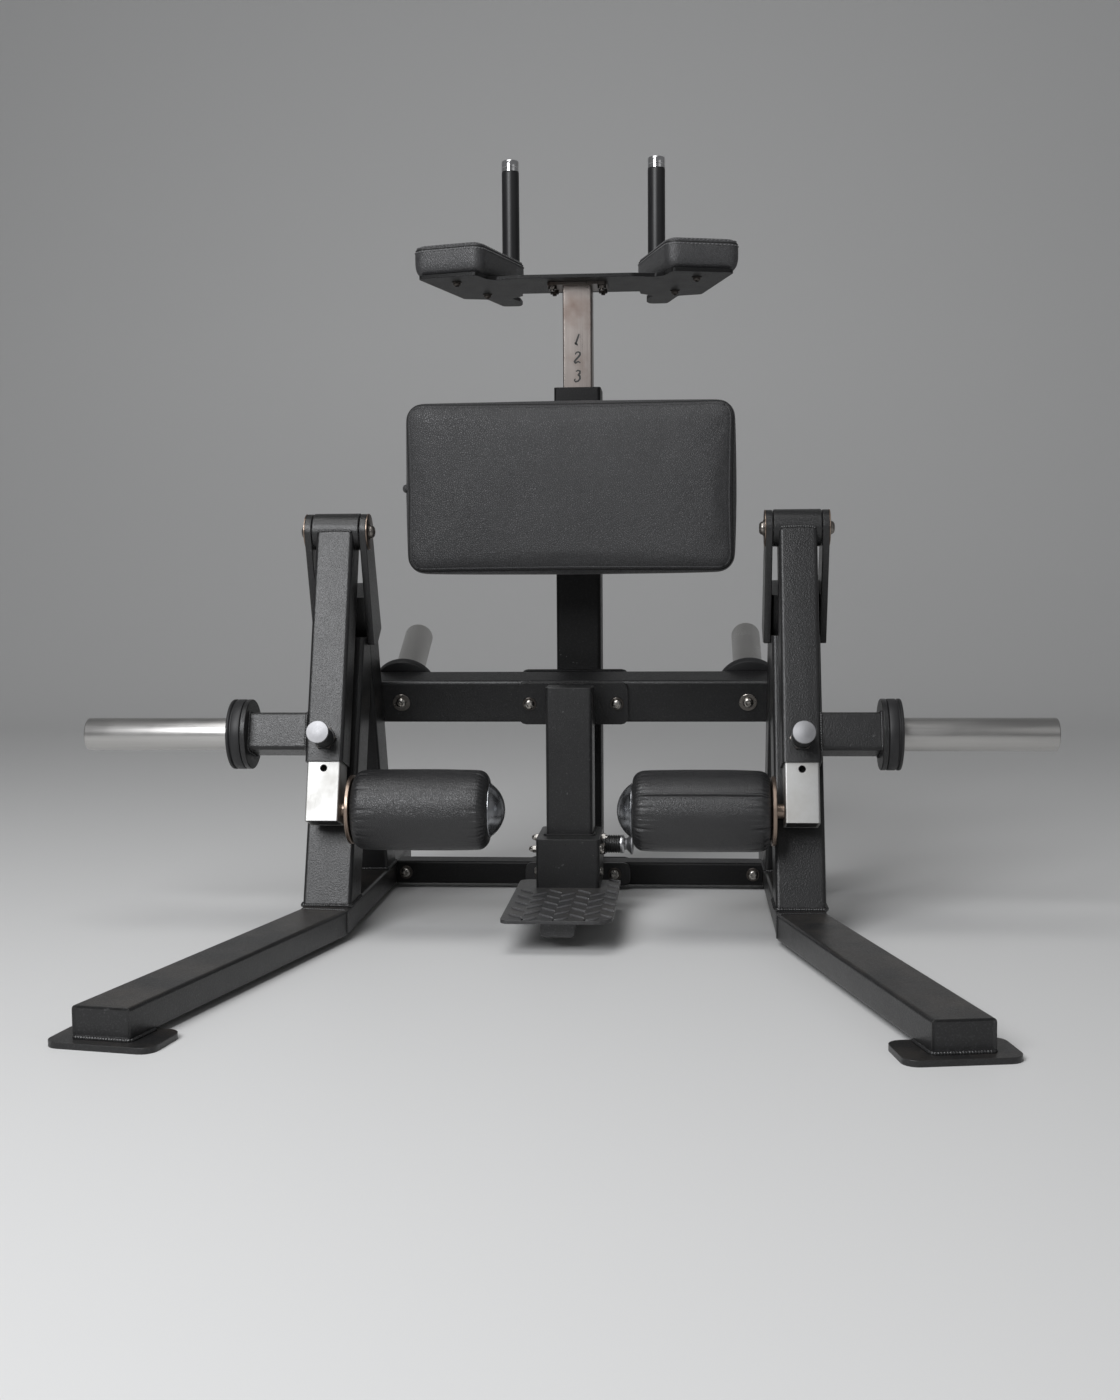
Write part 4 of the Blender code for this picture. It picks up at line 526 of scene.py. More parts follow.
def cord(name, points, radius, body, material, closed=True, sides=8, swell=None, angle=180.0):
    """Round bead along a path, whose radius may change from point to point."""
    shape = bmesh.new()
    rings = []
    across = None
    line = [points[-1], *points, points[0]] if closed else [points[0], *points, points[-1]]
    for index, (before, point, after) in enumerate(zip(line, line[1:], line[2:])):
        along = (after - before).normalized()
        across = (across - along * across.dot(along) if across else along.orthogonal()).normalized()
        size = radius * (swell(index) if swell else 1.0)
        rings.append(new_ring(shape, point, across, along.cross(across), size, sides))
    bridge(shape, rings, closed)
    piece(name, shape, body, material, angle=angle)


WELD_STEP = 0.0009


def weld(name, path, body, radius=0.0026, closed=False):
    """Rippled weld bead along the corner where two pieces meet."""
    offset = random.Random(len(name) * 31).uniform(0, 10)

    def ripple(index):
        wave = 0.5 + 0.5 * cos(2 * pi * index / 4.0)
        return 0.80 + 0.30 * wave + 0.12 * noise.noise(Vector((index * 0.13 + offset, offset, 0.0)))

    cord(name, resampled(path, WELD_STEP, closed), radius, body, weld_steel, closed,
         swell=ripple, angle=70.0)


def square_path(place, width, height):
    """Outline of a square tube in a placement's X and Y."""
    return [place @ point for point in rounded_row(width, height, TUBE_CORNER, 0.0, 4)]


# Cushions
def rounded_row(width, height, corner, level, steps=10):
    """Points round a rectangle with round corners, at one level."""
    points = []
    for side_x, side_y, start in ((1, 1, 0), (-1, 1, 90), (-1, -1, 180), (1, -1, 270)):
        for step in range(steps + 1):
            angle = radians(start + 90.0 * step / steps)
            points.append(Vector((side_x * (width / 2 - corner) + corner * cos(angle),
                                  side_y * (height / 2 - corner) + corner * sin(angle), level)))
    return points


def add_slab(shape, place, width, height, corner, least, rows, steps=10):
    """Solid through rounded rectangles at (inset, level) pairs, whose corners stay over the least."""
    loops = []
    for inset, level in rows:
        across, up, round_by = width - 2 * inset, height - 2 * inset, max(corner - inset, least)
        row = rounded_row(across, up, round_by, level, steps)
        loops.append([shape.verts.new(place @ point) for point in row])
    bridge(shape, loops)


def cushion_mesh(width, height, thickness, corner, edge, crown, waist):
    """Closed slab with a round upper edge, a low crown and sides that draw in at the board."""
    rows = [(1.6 * waist, 0.0), (0.7 * waist, 0.10 * thickness), (0.15 * waist, 0.24 * thickness),
            (0.0, 0.40 * thickness), (0.0, thickness - edge)]
    for step in range(1, 7):
        angle = radians(15.0 * step)
        rows.append((edge * (1 - cos(angle)), thickness - edge * (1 - sin(angle))))
    reach = min(width, height) / 2 - edge
    for share in (0.12, 0.28, 0.46, 0.64, 0.82, 0.95):
        rows.append((edge + reach * share, thickness + crown * (1 - (1 - share) ** 2.4)))
    shape = bmesh.new()
    add_slab(shape, Matrix(), width, height, corner, 0.0015, rows)
    bmesh.ops.recalc_face_normals(shape, faces=shape.faces)
    return new_mesh("cushion_start", shape)


PUFF_FRAMES = 20
SOFTENING_PASSES = 4


def evaluated_mesh(item):
    graph = bpy.context.evaluated_depsgraph_get()
    return bpy.data.meshes.new_from_object(item.evaluated_get(graph))


def swollen(mesh, voxel, pinned_below, cap):
    """Remesh a cushion, let cloth pressure fill it, and ease every move in under the cap."""
    item = new_object("cushion_work", mesh)
    remesh = item.modifiers.new("Voxels", "REMESH")
    configured(remesh, mode="VOXEL", voxel_size=voxel, use_smooth_shade=True)
    fine = evaluated_mesh(item)
    item.modifiers.clear()
    item.data = fine
    start = [vertex.co.copy() for vertex in fine.vertices]
    held = item.vertex_groups.new(name="held")
    held.add([v.index for v in fine.vertices if v.co.z < pinned_below], 1.0, "REPLACE")
    cloth = item.modifiers.new("Cloth", "CLOTH")
    configured(cloth.settings, quality=6, mass=0.4, tension_stiffness=25, compression_stiffness=25,
               shear_stiffness=12, bending_stiffness=4, use_pressure=True, uniform_pressure_force=1.2,
               vertex_group_mass="held")
    cloth.settings.effector_weights.gravity = 0.0
    cloth.collision_settings.use_collision = False
    for number in range(1, PUFF_FRAMES + 1):
        scene.frame_set(number)
    puffed = evaluated_mesh(item)
    item.modifiers.clear()
    for vertex, before, after in zip(fine.vertices, start, puffed.vertices):
        move = after.co - before
        if move.length > 0.00001:
            move *= cap * tanh(move.length / cap) / move.length
        vertex.co = before + move
    bpy.data.meshes.remove(puffed)
    scene.frame_set(1)
    shape = bmesh.new()
    shape.from_mesh(fine)
    for _ in range(SOFTENING_PASSES):
        bmesh.ops.smooth_vert(shape, verts=shape.verts, factor=0.35, use_axis_x=True, use_axis_y=True,
                              use_axis_z=True)
    bpy.data.objects.remove(item)
    return shape


def finished_pad(name, shape, place, body, node, material):
    """Cushion in its place, over the node that it replaces; gives its surface for rays."""
    bmesh.ops.transform(shape, matrix=place, verts=shape.verts)
    item = piece(name, shape, body, material, angle=180.0)
    configured(item.modifiers.new("Fine", "SUBSURF"), levels=1, render_levels=1)
    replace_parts(item, node)
    return BVHTree.FromObject(item, bpy.context.evaluated_depsgraph_get())


def on_surface(tree, point, inward, start=0.06):
    """Where a line from outside a cushion first meets it, with the surface normal there."""
    spot, normal, _, _ = tree.ray_cast(point - inward * start, inward)
    return (spot, normal) if spot is not None else (point, -inward)


def add_stitch(shape, start, along, normal, length=0.0050, width=0.0020):
    """One raised stitch of thread."""
    across = normal.cross(along).normalized()
    rings = []
    for share, size, lift in ((0.0, 0.25, -0.0001), (0.18, 0.85, 0.0005), (0.5, 1.0, 0.0008),
                              (0.82, 0.85, 0.0005), (1.0, 0.25, -0.0001)):
        centre = start + along * length * share + normal * lift
        rings.append(new_ring(shape, centre, across, normal, width * size / 2, 6))
    bridge(shape, rings)


# Thigh pad
THIGH_WIDTH = 0.540
THIGH_HEIGHT = 0.283
THIGH_THICKNESS = 0.0697
THIGH_CENTRE = 0.6885
THIGH_BACK = -0.0223
thigh_place = facing(at(0.0, THIGH_BACK, THIGH_CENTRE), (0, -1, 0), (-1, 0, 0))
start = cushion_mesh(THIGH_WIDTH - 0.006, THIGH_HEIGHT - 0.006, THIGH_THICKNESS - 0.011,
                     corner=0.028, edge=0.020, crown=0.005, waist=0.004)
thigh_shape = swollen(start, voxel=0.005, pinned_below=0.006, cap=0.0035)
thigh_surface = finished_pad("thigh_cushion", thigh_shape, thigh_place, "base", "thigh_pad", hide)


def face_seam(name, inset, level, radius, material):
    """Bead round the thigh pad's front, where it turns into the side."""
    row = rounded_row(THIGH_WIDTH - 2 * inset, THIGH_HEIGHT - 2 * inset, 0.024, level, 12)
    spots = []
    for point in resampled(row, 0.004, True):
        x, y = 2 * point.x / THIGH_WIDTH, 2 * point.y / THIGH_HEIGHT
        if abs(x) > abs(y):
            outward = Vector((copysign(1.0, x), 0.35 * y, 1.0))
        else:
            outward = Vector((0.35 * x, copysign(1.0, y), 1.0))
        inward = -(thigh_place.to_3x3() @ outward).normalized()
        spot, normal = on_surface(thigh_surface, thigh_place @ point, inward)
        spots.append(spot - normal * radius * 0.35)
    cord(name, spots, radius, "base", material)


face_seam("thigh_welt", inset=0.006, level=0.058, radius=0.0020, material=hide)
# Dark bead in the seam: painted shade of its groove.
face_seam("thigh_seam", inset=0.004, level=0.0515, radius=0.0013, material=seam_shade)

pull_spot = at(-THIGH_WIDTH / 2 + 0.001, THIGH_BACK - 0.036, THIGH_CENTRE + 0.001)
ZIP_PULL = [(0, -0.004), (0.006, -0.004), (0.007, 0.0), (0.0055, 0.003), (0.003, 0.0045), (0, 0.005)]
lathe("thigh_zip_pull", ZIP_PULL, facing(pull_spot, (-1, 0, 0), (0, 1, 0)), "base", hide, 20)

# Arm pads
ARM_PAD = (0.134, 0.218, 0.0597)
ARM_PAD_CORNER = 0.020
ARM_PAD_TURN = radians(16.0)
ARM_PAD_PLACE = (0.156, 0.066)


def side_line(tree, place, level, step):
    """Even points round an arm pad's side at one level, laid on its surface."""
    path = resampled(rounded_row(ARM_PAD[0], ARM_PAD[1], ARM_PAD_CORNER, level, 12), step, True)
    result = []
    for before, point, after in zip(path[-1:] + path, path, path[1:] + path[:1]):
        along = after - before
        inward = Vector((-along.y, along.x, 0.0)).normalized()
        result.append(on_surface(tree, place @ point, (place.to_3x3() @ inward).normalized()))
    return result


for side, label in SIDES:
    turn = Matrix.Rotation(side * ARM_PAD_TURN, 4, "Z")
    corner = at(side * ARM_PAD_PLACE[0], ARM_PAD_PLACE[1], 0.0)
    middle = corner + turn @ Vector((side * ARM_PAD[0] / 2, ARM_PAD[1] / 2, 0.0))
    place = Matrix.Translation((middle.x, middle.y, REST_SEAT)) @ turn
    start = cushion_mesh(ARM_PAD[0] - 0.004, ARM_PAD[1] - 0.004, ARM_PAD[2] - 0.0075,
                         corner=ARM_PAD_CORNER, edge=0.0115, crown=0.0035, waist=0.0055)
    shape = swollen(start, voxel=0.004, pinned_below=0.005, cap=0.004)
    tree = finished_pad(label + "_arm_cushion", shape, place, "arm_rest", label + "_arm_pad", hide_arm)
    for row, level in (("upper", 0.0480), ("lower", 0.0405)):
        shape = bmesh.new()
        spots = side_line(tree, place, level, 0.0072)
        for (here, normal), (after, _) in zip(spots, spots[1:] + spots[:1]):
            add_stitch(shape, here, (after - here).normalized(), normal)
        piece(f"{label}_arm_stitch_{row}", shape, "arm_rest", thread, angle=180.0)
    # Dark bead along the side seam: painted shade of its groove.
    seam = [spot - normal * 0.0005 for spot, normal in side_line(tree, place, 0.0442, 0.004)]
    cord(label + "_arm_seam", seam, 0.0013, "arm_rest", seam_shade, sides=6)

# Ankle rollers
ROLLER_OUTER = 0.312
ROLLER_INNER = 0.1075
ROLLER_RADIUS = 0.060
ROLLER_DOWN = 0.440
ROLLER_LENGTH = ROLLER_OUTER - ROLLER_INNER
ROLLER_EDGE = 0.017


def roller_profile():
    """Closed outline of a roller's cover, with a flat bore and round ends."""
    ends = [(0.0115, 0.004), (0.030, 0.0035), (0.040, 0.0015)]
    for step in range(9):
        angle = radians(11.25 * step)
        ends.append((ROLLER_RADIUS - ROLLER_EDGE * (1 - sin(angle)), ROLLER_EDGE * (1 - cos(angle))))
    middle = [(ROLLER_RADIUS + 0.0012 * sin(pi * share), ROLLER_LENGTH * share)
              for share in (0.14, 0.20, 0.28, 0.37, 0.50, 0.63, 0.72, 0.80, 0.86)]
    return ends + middle + [(radius, ROLLER_LENGTH - height) for radius, height in reversed(ends)]


def gap_from(angle, other):
    return atan2(sin(angle - other), cos(angle - other))


def build_roller(side, label):
    """Covered roller with puckered ends and one seam along it."""
    source = random.Random(7 + side)
    folds = [(source.uniform(0, 2 * pi), source.uniform(0.4, 1.0), source.uniform(0.020, 0.045))
             for _ in range(40)]
    seam_at = radians(30.0) if side > 0 else radians(150.0)

    def wobble(radius, height, angle):
        near_end = min(height, ROLLER_LENGTH - height)
        pucker = exp(-((near_end - 0.012) / 0.013) ** 2)
        depth = sum(size * exp(-(gap_from(angle, spot) / width) ** 2) for spot, size, width in folds)
        pleat = (0.5 + 0.5 * cos(54 * angle)) * exp(-((near_end - 0.007) / 0.006) ** 2)
        wave = noise.noise(Vector((3.0 * cos(angle), 3.0 * sin(angle), height * 22.0 + side)))
        gap = gap_from(angle, seam_at)
        crease = 0.0
        if radius > 0.05:
            crease = 0.0015 * exp(-(gap / 0.014) ** 2) - 0.0006 * exp(-((abs(gap) - 0.045) / 0.02) ** 2)
        return radius - 0.0015 * depth * pucker - 0.0009 * pleat + 0.0005 * wave - crease

    angles = sorted([2 * pi * step / 360 for step in range(360)]
                    + [seam_at + 0.0061 * step + 0.0007 for step in range(-8, 9)])
    shape = bmesh.new()
    place = arm_side(side, ROLLER_OUTER, ROLLER_DOWN, -side)
    add_lathe(shape, roller_profile(), place, closed=True, wobble=wobble, angles=angles)
    bmesh.ops.remove_doubles(shape, verts=shape.verts, dist=0.00002)
    roller = piece(label + "_roller_cushion", shape, label + "_roller_pad", hide_roller,
                   angle=180.0)
    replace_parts(roller, label + "_roller")


for side, label in SIDES:
    build_roller(side, label)

# Chrome end caps of the rollers
DOME_SEAT, DOME_RADIUS, DOME_HEIGHT = 0.0010, 0.041, 0.0225
sphere = (DOME_RADIUS ** 2 + DOME_HEIGHT ** 2) / (2 * DOME_HEIGHT)
dome = [(0, DOME_SEAT), (DOME_RADIUS, DOME_SEAT), (DOME_RADIUS, DOME_SEAT + 0.0008)]
for step in range(1, 17):
    angle = asin(DOME_RADIUS / sphere) * (1 - step / 16)
    dome.append((sphere * sin(angle) * 0.996, DOME_SEAT + DOME_HEIGHT - sphere * (1 - cos(angle))))
for side, label in SIDES:
    place = arm_side(side, ROLLER_INNER, ROLLER_DOWN, -side)
    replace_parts(lathe(label + "_roller_dome", dome, place, label + "_slider", satin, 96),
                label + "_roller_cap")

# Weight sleeves and their rubber rings
HORN_DOWN = 0.324
HORN_END = 0.475
SLEEVE_TIP = 0.734 - HORN_END
SLEEVE = [(0, 0.0083), (0.025, 0.0083), (0.025, SLEEVE_TIP - 0.0022), (0.0244, SLEEVE_TIP - 0.0008),
          (0.0232, SLEEVE_TIP), (0.0215, SLEEVE_TIP), (0.0208, SLEEVE_TIP - 0.0012),
          (0, SLEEVE_TIP - 0.0012)]
BUMPER = [(0.0253, 0.0083), (0.0515, 0.0083), (0.0530, 0.0091), (0.0535, 0.0108), (0.0535, 0.0208),
          (0.0528, 0.0221), (0.0512, 0.0227), (0.0512, 0.0241), (0.0528, 0.0247), (0.0535, 0.0257),
          (0.0535, 0.0250), (0.0529, 0.0253), (0.0529, 0.0258), (0.0535, 0.0261), (0.0535, 0.0283),
          (0.0528, 0.0294), (0.0512, 0.0298), (0.0253, 0.0298)]
for side, label in SIDES:
    place = arm_side(side, HORN_END, HORN_DOWN, side)
    arm = label + "_arm"
    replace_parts(lathe(label + "_sleeve_turned", SLEEVE, place, arm, sleeve_steel, 96),
                label + "_weight_sleeve")
    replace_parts(lathe(label + "_bumper_ring", BUMPER, place, arm, rubber, 96, closed=True),
                label + "_bumper")

# Storage pegs
PEG_TILT = radians(10.0)
PEG_SEAT = FRAME_TUBE / 2 * sin(PEG_TILT) + SEAT_GAP
RING_TOP = PEG_SEAT + 0.015
PEG_TIP = RING_TOP + 0.168
PEG = [(0, 0.0047), (0.025, 0.0047), (0.025, PEG_TIP - 0.0045), (0.0243, PEG_TIP - 0.002),
       (0.0228, PEG_TIP - 0.0005), (0.021, PEG_TIP), (0, PEG_TIP)]
PEG_RING = [(0.0253, PEG_SEAT), (0.0505, PEG_SEAT), (0.0528, PEG_SEAT + 0.0010),
            (0.0535, PEG_SEAT + 0.0030), (0.0535, RING_TOP - 0.0030), (0.0528, RING_TOP - 0.0010),
            (0.0505, RING_TOP), (0.0253, RING_TOP)]
PEG_ROOT = [(0.0, -0.002), (0.0262, -0.002), (0.0262, 0.0030), (0.0256, 0.0046), (0, 0.0046)]
lean = Matrix.Rotation(BEAM_LEAN, 4, "X")
beam_out = lean @ Vector((0, -1, 0))
for side, label in SIDES:
    root = at(side * PEG_OUT, *BEAM_SEAT) - beam_out * (BEAM_DEPTH + SEAT_GAP)
    axis = facing(root, lean @ Matrix.Rotation(PEG_TILT, 4, "X") @ Vector((0, 1, 0)))
    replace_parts(lathe(label + "_peg_turned", PEG, axis, "base", peg_steel, 96),
                label + "_storage_peg")
    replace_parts(lathe(label + "_peg_ring", PEG_RING, axis, "base", rubber, 96, closed=True),
                label + "_storage_bumper")
    lathe(label + "_peg_root", PEG_ROOT, facing(root, -beam_out), "base", weld_steel, 64)

# Spring pins: turned knobs and ribbed housings
KNOB = ((0.0074, 0.0000), (0.0080, 0.0008), (0.0076, 0.0040), (0.0092, 0.0064), (0.0142, 0.0092),
        (0.0164, 0.0106), (0.0171, 0.0116), (0.0172, 0.0126), (0.0170, 0.0136), (0.0164, 0.0142),
        (0.0090, 0.0151), (0.0018, 0.0159), (0.0000, 0.0158))
RIB = ((0.0134, 0.0000), (0.0147, 0.0005), (0.0149, 0.0013), (0.0147, 0.0021), (0.0134, 0.0026))
LOCKNUT = [(0.0125, 0.0003), (0.0158, 0.0003, 6), (0.0158, 0.0052, 6), (0.0150, 0.0060), (0.0125, 0.0060)]


def spring_pin(label, place, boss_body, wall=PIN_WALL, waist=1.0):
    """Knob with its pin, on the pin's own body, and the ribbed housing and locknut round the boss."""
    nose = -wall + SEAT_GAP
    seat = PIN_BOSS_HEIGHT + SEAT_GAP
    rows = [(0, nose), (0.0035, nose), (0.0045, nose + 0.001), (0.0045, seat)]
    for radius, height in KNOB:
        rows.append((radius * waist if 0.007 < radius < 0.010 else radius, seat + height))
    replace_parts(lathe(label + "_turned", rows, place, label, knob_metal, 72, angle=28.0),
                label + "_knob")
    rows = [(PIN_BOSS_RADIUS - 0.001, 0.0062)]
    for rib in range(7):
        rows += [(radius, 0.0066 + rib * 0.0039 + height) for radius, height in RIB]
    top = PIN_BOSS_HEIGHT + 0.0006
    rows += [(0.0140, top - 0.0030), (0.0143, top - 0.0010), (0.0130, top - 0.0004), (0.0110, top - 0.0003),
             (PIN_BOSS_RADIUS - 0.0055, top - 0.0003), (PIN_BOSS_RADIUS - 0.0055, 0.0062)]
    lathe(label + "_housing", rows, place, boss_body, plastic, 56, closed=True)
    lathe(label + "_locknut", LOCKNUT, place, boss_body, dark_zinc, 60, closed=True, angle=30.0)


for side, label in SIDES:
    place = arm_place(side) @ facing(Vector((0, -ARM_TUBE / 2, -ARM_PIN_DOWN)), (0, -1, 0))
    spring_pin(label + "_arm_pin", place, label + "_arm")
spring_pin("rest_pin", facing(at(*REST_PIN), (0, 1, 0)), "base")
step_pin_place = facing(at(*STEP_PIN), (1, 0, 0), (0, 1, 0))
spring_pin("step_pin", step_pin_place, "step", (STEP_SLEEVE - STEP_LINER) / 2, 1.2)
COLLAR = [(0.0136, 0.0300), (0.0150, 0.0300), (0.0152, 0.0310), (0.0152, 0.0352), (0.0144, 0.0366),
          (0.0120, 0.0366), (0.0120, 0.0363), (0.0136, 0.0363)]
lathe("step_pin_collar", COLLAR, step_pin_place, "step", aluminium, 72, closed=True,
      angle=30.0)

# Black plugs in the slide tubes' lower ends
PLUG = ((0.0, 0.0008), (0.0, 0.0002), (0.0008, 0.0000), (0.0120, 0.0000), (0.0126, 0.0004))
PLUG_WIDTH = 0.0440
for side, label in SIDES:
    place = arm_place(side)
    node = frame["nodes"][label + "_slide_tube"]
    into = place.inverted() @ node.matrix_world
    end = min((into @ vertex.co).z for vertex in node.data.vertices)
    shape = bmesh.new()
    rows = [(inset, end + level) for inset, level in PLUG]
    add_slab(shape, place, PLUG_WIDTH, PLUG_WIDTH, 0.0040, 0.001, rows, 5)
    piece(label + "_slide_plug", shape, label + "_slider", plastic, angle=30.0)

# Handle caps and grips
ROD_TOP = 1.311 - REST_SEAT
ROD = [(0, 0), (0.0165, 0), (0.0165, 0.005), (0.0145, 0.007), (0.0125, 0.009), (0.0125, ROD_TOP - 0.020),
       (0.0160, ROD_TOP - 0.020), (0.0160, ROD_TOP - 0.0146), (0.0154, ROD_TOP - 0.0140),
       (0.0154, ROD_TOP - 0.0132), (0.0160, ROD_TOP - 0.0126), (0.0160, ROD_TOP - 0.0025),
       (0.0152, ROD_TOP - 0.0007), (0.0138, ROD_TOP), (0.0100, ROD_TOP), (0.0094, ROD_TOP - 0.0008),
       (0, ROD_TOP - 0.0008)]
GRIP_LOW, GRIP_TOP = 0.031, ROD_TOP - 0.0203
GRIP = [(0.0128, GRIP_LOW), (0.0150, GRIP_LOW), (0.0159, GRIP_LOW + 0.0012), (0.0161, GRIP_LOW + 0.004),
        (0.0160, GRIP_TOP - 0.004), (0.0159, GRIP_TOP - 0.0012), (0.0150, GRIP_TOP), (0.0128, GRIP_TOP)]
for side, label in SIDES:
    axis = Matrix.Translation(at(side * HANDLE_OUT, HANDLE_DEPTH, REST_SEAT))
    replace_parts(lathe(label + "_handle_rod", ROD, axis, "arm_rest", chrome, 72, angle=30.0),
                label + "_handle")
    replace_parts(lathe(label + "_handle_grip", GRIP, axis, "arm_rest", foam, 72, closed=True),
                label + "_grip")

# Bolts
beam_face = at(0, *BEAM_SEAT)
beam_back = beam_face - beam_out * (BEAM_DEPTH + BEAM_FLANGE)
CROSS_HEIGHT = 0.028
for name, middle, outward, reach, sizes in (
        ("beam_end", beam_face, beam_out, 0.290, {"radius": 0.0090, "washer": 0.0150, "ring": shaded_zinc}),
        ("beam_flange", beam_face + beam_out * BEAM_FLANGE, beam_out, 0.073, {"radius": 0.0088}),
        ("beam_rear", beam_back, -beam_out, 0.073, {"radius": 0.0088}),
        ("cross_member", at(0, 0.085, CROSS_HEIGHT), (0, -1, 0), 0.303, {"radius": 0.0085}),
        ("cross_flange", at(0, 0.0787, CROSS_HEIGHT), (0, -1, 0), 0.064, {"radius": 0.0085}),
        ("cross_rear", at(0, 0.1423, CROSS_HEIGHT), (0, 1, 0), 0.064, {"radius": 0.0085})):
    places = [facing(middle + Vector((x, 0, 0)), outward) for x in (-reach, reach)]
    bolts(name + "_bolts", places, "base", **sizes)
pad_spots = [(s * x, y) for s, _ in SIDES for x, y in ((0.207, 0.130), (0.169, 0.256))]
bolts("rest_pad_bolts", [facing(at(x, y, PLATE_UNDERSIDE), (0, 0, -1)) for x, y in pad_spots], "arm_rest",
      dark_zinc, radius=0.0066, washer=0.0088)
flange_spots = [(s * 0.043, COLUMN_CENTRE + d) for s, _ in SIDES for d in (-0.024, 0.024)]
bolts("rest_flange_bolts", [facing(at(x, y, PLATE_TOP), (0, 0, 1)) for x, y in flange_spots], "arm_rest",
      radius=0.0065, height=0.0045, washer=0.0085)
shape = bmesh.new()
for x, y in flange_spots:
    add_nut(shape, facing(at(x, y, FLANGE_UNDERSIDE), (0, 0, -1)))
piece("rest_flange_nuts", shape, "arm_rest", dark_zinc, angle=30.0)

# Screws and nuts that hold the liner in the step's sleeve
shape = bmesh.new()
for side, _ in SIDES:
    front, back, low = (facing(at(side * STEP_SLEEVE / 2, depth, height), (side, 0, 0), (0, 1, 0))
                        for depth, height in ((-0.140, 0.110), (-0.088, 0.120), (-0.140, 0.074)))
    if side < 0:
        add_cap_nut(shape, front)
        add_cap_nut(shape, back)
    else:
        add_bolt(shape, front, 0.0080, 0.0062)
        add_nut(shape, back)
    add_bolt(shape, low, 0.0066, 0.0045)
piece("step_sleeve_bolts", shape, "step", zinc, angle=30.0)

# Pivot pin heads, on bronze washers with a bright rim
for side, label in SIDES:
    heads, discs, rims = bmesh.new(), bmesh.new(), bmesh.new()
    for out in (-1, 1):
        spot = at(side * SIDE_CENTRE + out * EAR_OUTSIDE, PIVOT_DEPTH, PIVOT_HEIGHT)
        face = facing(spot, (out, 0, 0), (0, 1, 0))
        add_lathe(discs, [(0, -0.0004), (0.0270, -0.0004), (0.0270, 0.0009), (0.0262, 0.0014), (0, 0.0014)],
                  face, 72)
        add_lathe(rims, [(0.0271, -0.0002), (0.0283, -0.0002), (0.0283, 0.0009), (0.0277, 0.0014),
                         (0.0271, 0.0009)], face, 72, closed=True)
        seat = face @ Matrix.Translation((0, 0, 0.0012))
        add_lathe(heads, [(0, 0), (0.0128, 0), (0.0128, 0.0014), (0.0122, 0.0020), (0, 0.0020)], seat, 36)
        add_bolt(heads, seat @ Matrix.Translation((0, 0, 0.0016)), 0.0104, 0.0062, 0.0042)
    # Heads in the darker zinc: painted shade.
    piece(label + "_pivot_heads", heads, "base", shaded_zinc, angle=30.0)
    piece(label + "_pivot_washers", discs, "base", bronze_steel, angle=35.0)
    piece(label + "_pivot_rims", rims, "base", warm_steel, angle=50.0)


# Weld beads
def sloped_foot(node, lean, sign):
    """Outline of a leaning tube's cut foot, from its low edge in depth back along the rail."""
    low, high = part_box(node)
    reach = FRAME_TUBE / cos(lean)
    near = low.y if sign > 0 else high.y
    middle = Vector(((low.x + high.x) / 2, near + sign * reach / 2, RAIL_TOP + 0.0012))
    return square_path(Matrix.Translation(middle), high.x - low.x, reach)


def rail_frame(side):
    """Bend, splay direction and across direction of a floor rail's centre line."""
    foot_height = PIVOT_HEIGHT - PIVOT_TO_POST * sin(POST_LEAN)
    foot_depth = PIVOT_DEPTH + PIVOT_TO_POST * cos(POST_LEAN)
    bend = at(side * SIDE_CENTRE, foot_depth + (RAIL_TOP - foot_height) * tan(POST_LEAN) - BEND_AHEAD, 0.0)
    ahead = Vector((side * sin(SPLAY), -cos(SPLAY), 0.0))
    return bend, ahead, Vector((-ahead.y, ahead.x, 0.0))


FOOT_WELD_RUN = 0.052
FOOT_WELD_CORNER = 0.004
for side, label in SIDES:
    place = arm_place(side)
    half = ARM_TUBE / 2
    top_edge = [(-half + 0.003, -0.0290, -0.0105), (-half + 0.005, -0.0288, -0.0078),
                (0.0, -0.0288, -0.0070), (half - 0.005, -0.0288, -0.0078), (half - 0.003, -0.0290, -0.0105)]
    weld(label + "_hub_weld", [place @ Vector(spot) for spot in top_edge], label + "_arm", 0.0021)
    for name, out, width in (("_horn_root_weld", half, ARM_TUBE - 0.002),
                             ("_horn_end_weld", HORN_END - SIDE_CENTRE, ARM_TUBE)):
        ring = place @ facing(Vector((side * out, 0.0, -HORN_DOWN)), (side, 0, 0), (0, 1, 0))
        weld(label + name, square_path(ring, width, width), label + "_arm", closed=True)
    foot = sloped_foot(label + "_front_post", POST_LEAN, 1)
    weld(label + "_post_foot_weld", foot, "base", 0.0033, closed=True)
    foot = sloped_foot(label + "_rear_strut", BEAM_LEAN, -1)
    weld(label + "_strut_foot_weld", foot, "base", 0.0033, closed=True)
    bend, ahead, across = rail_frame(side)
    mitre = (Vector((1, 0, 0)) + across).normalized()
    reach = FRAME_TUBE / 2 + 0.0002
    seam = [bend + mitre * u + Vector((0, 0, v)) for u, v in
            ((-reach, 0.012), (-reach, 0.043), (-reach + 0.005, RAIL_TOP), (reach - 0.005, RAIL_TOP),
             (reach, 0.043), (reach, 0.012))]
    weld(label + "_rail_bend_weld", seam, "base", 0.0015)
    front = bend + ahead * SPLAY_LENGTH + Vector((0, 0, FOOT_PLATE + 0.0010))
    cut = Vector((cos(FOOT_TURN), side * sin(FOOT_TURN), 0.0))
    first, second = (front + cut * sign * FRAME_TUBE / 2 for sign in (-1, 1))
    run, back, aside = ahead * FOOT_WELD_RUN, ahead * FOOT_WELD_CORNER, cut * FOOT_WELD_CORNER
    path = [first - run, first - back, first + aside, second - aside, second - back, second - run]
    weld(label + "_foot_weld", path, "base", 0.0030)


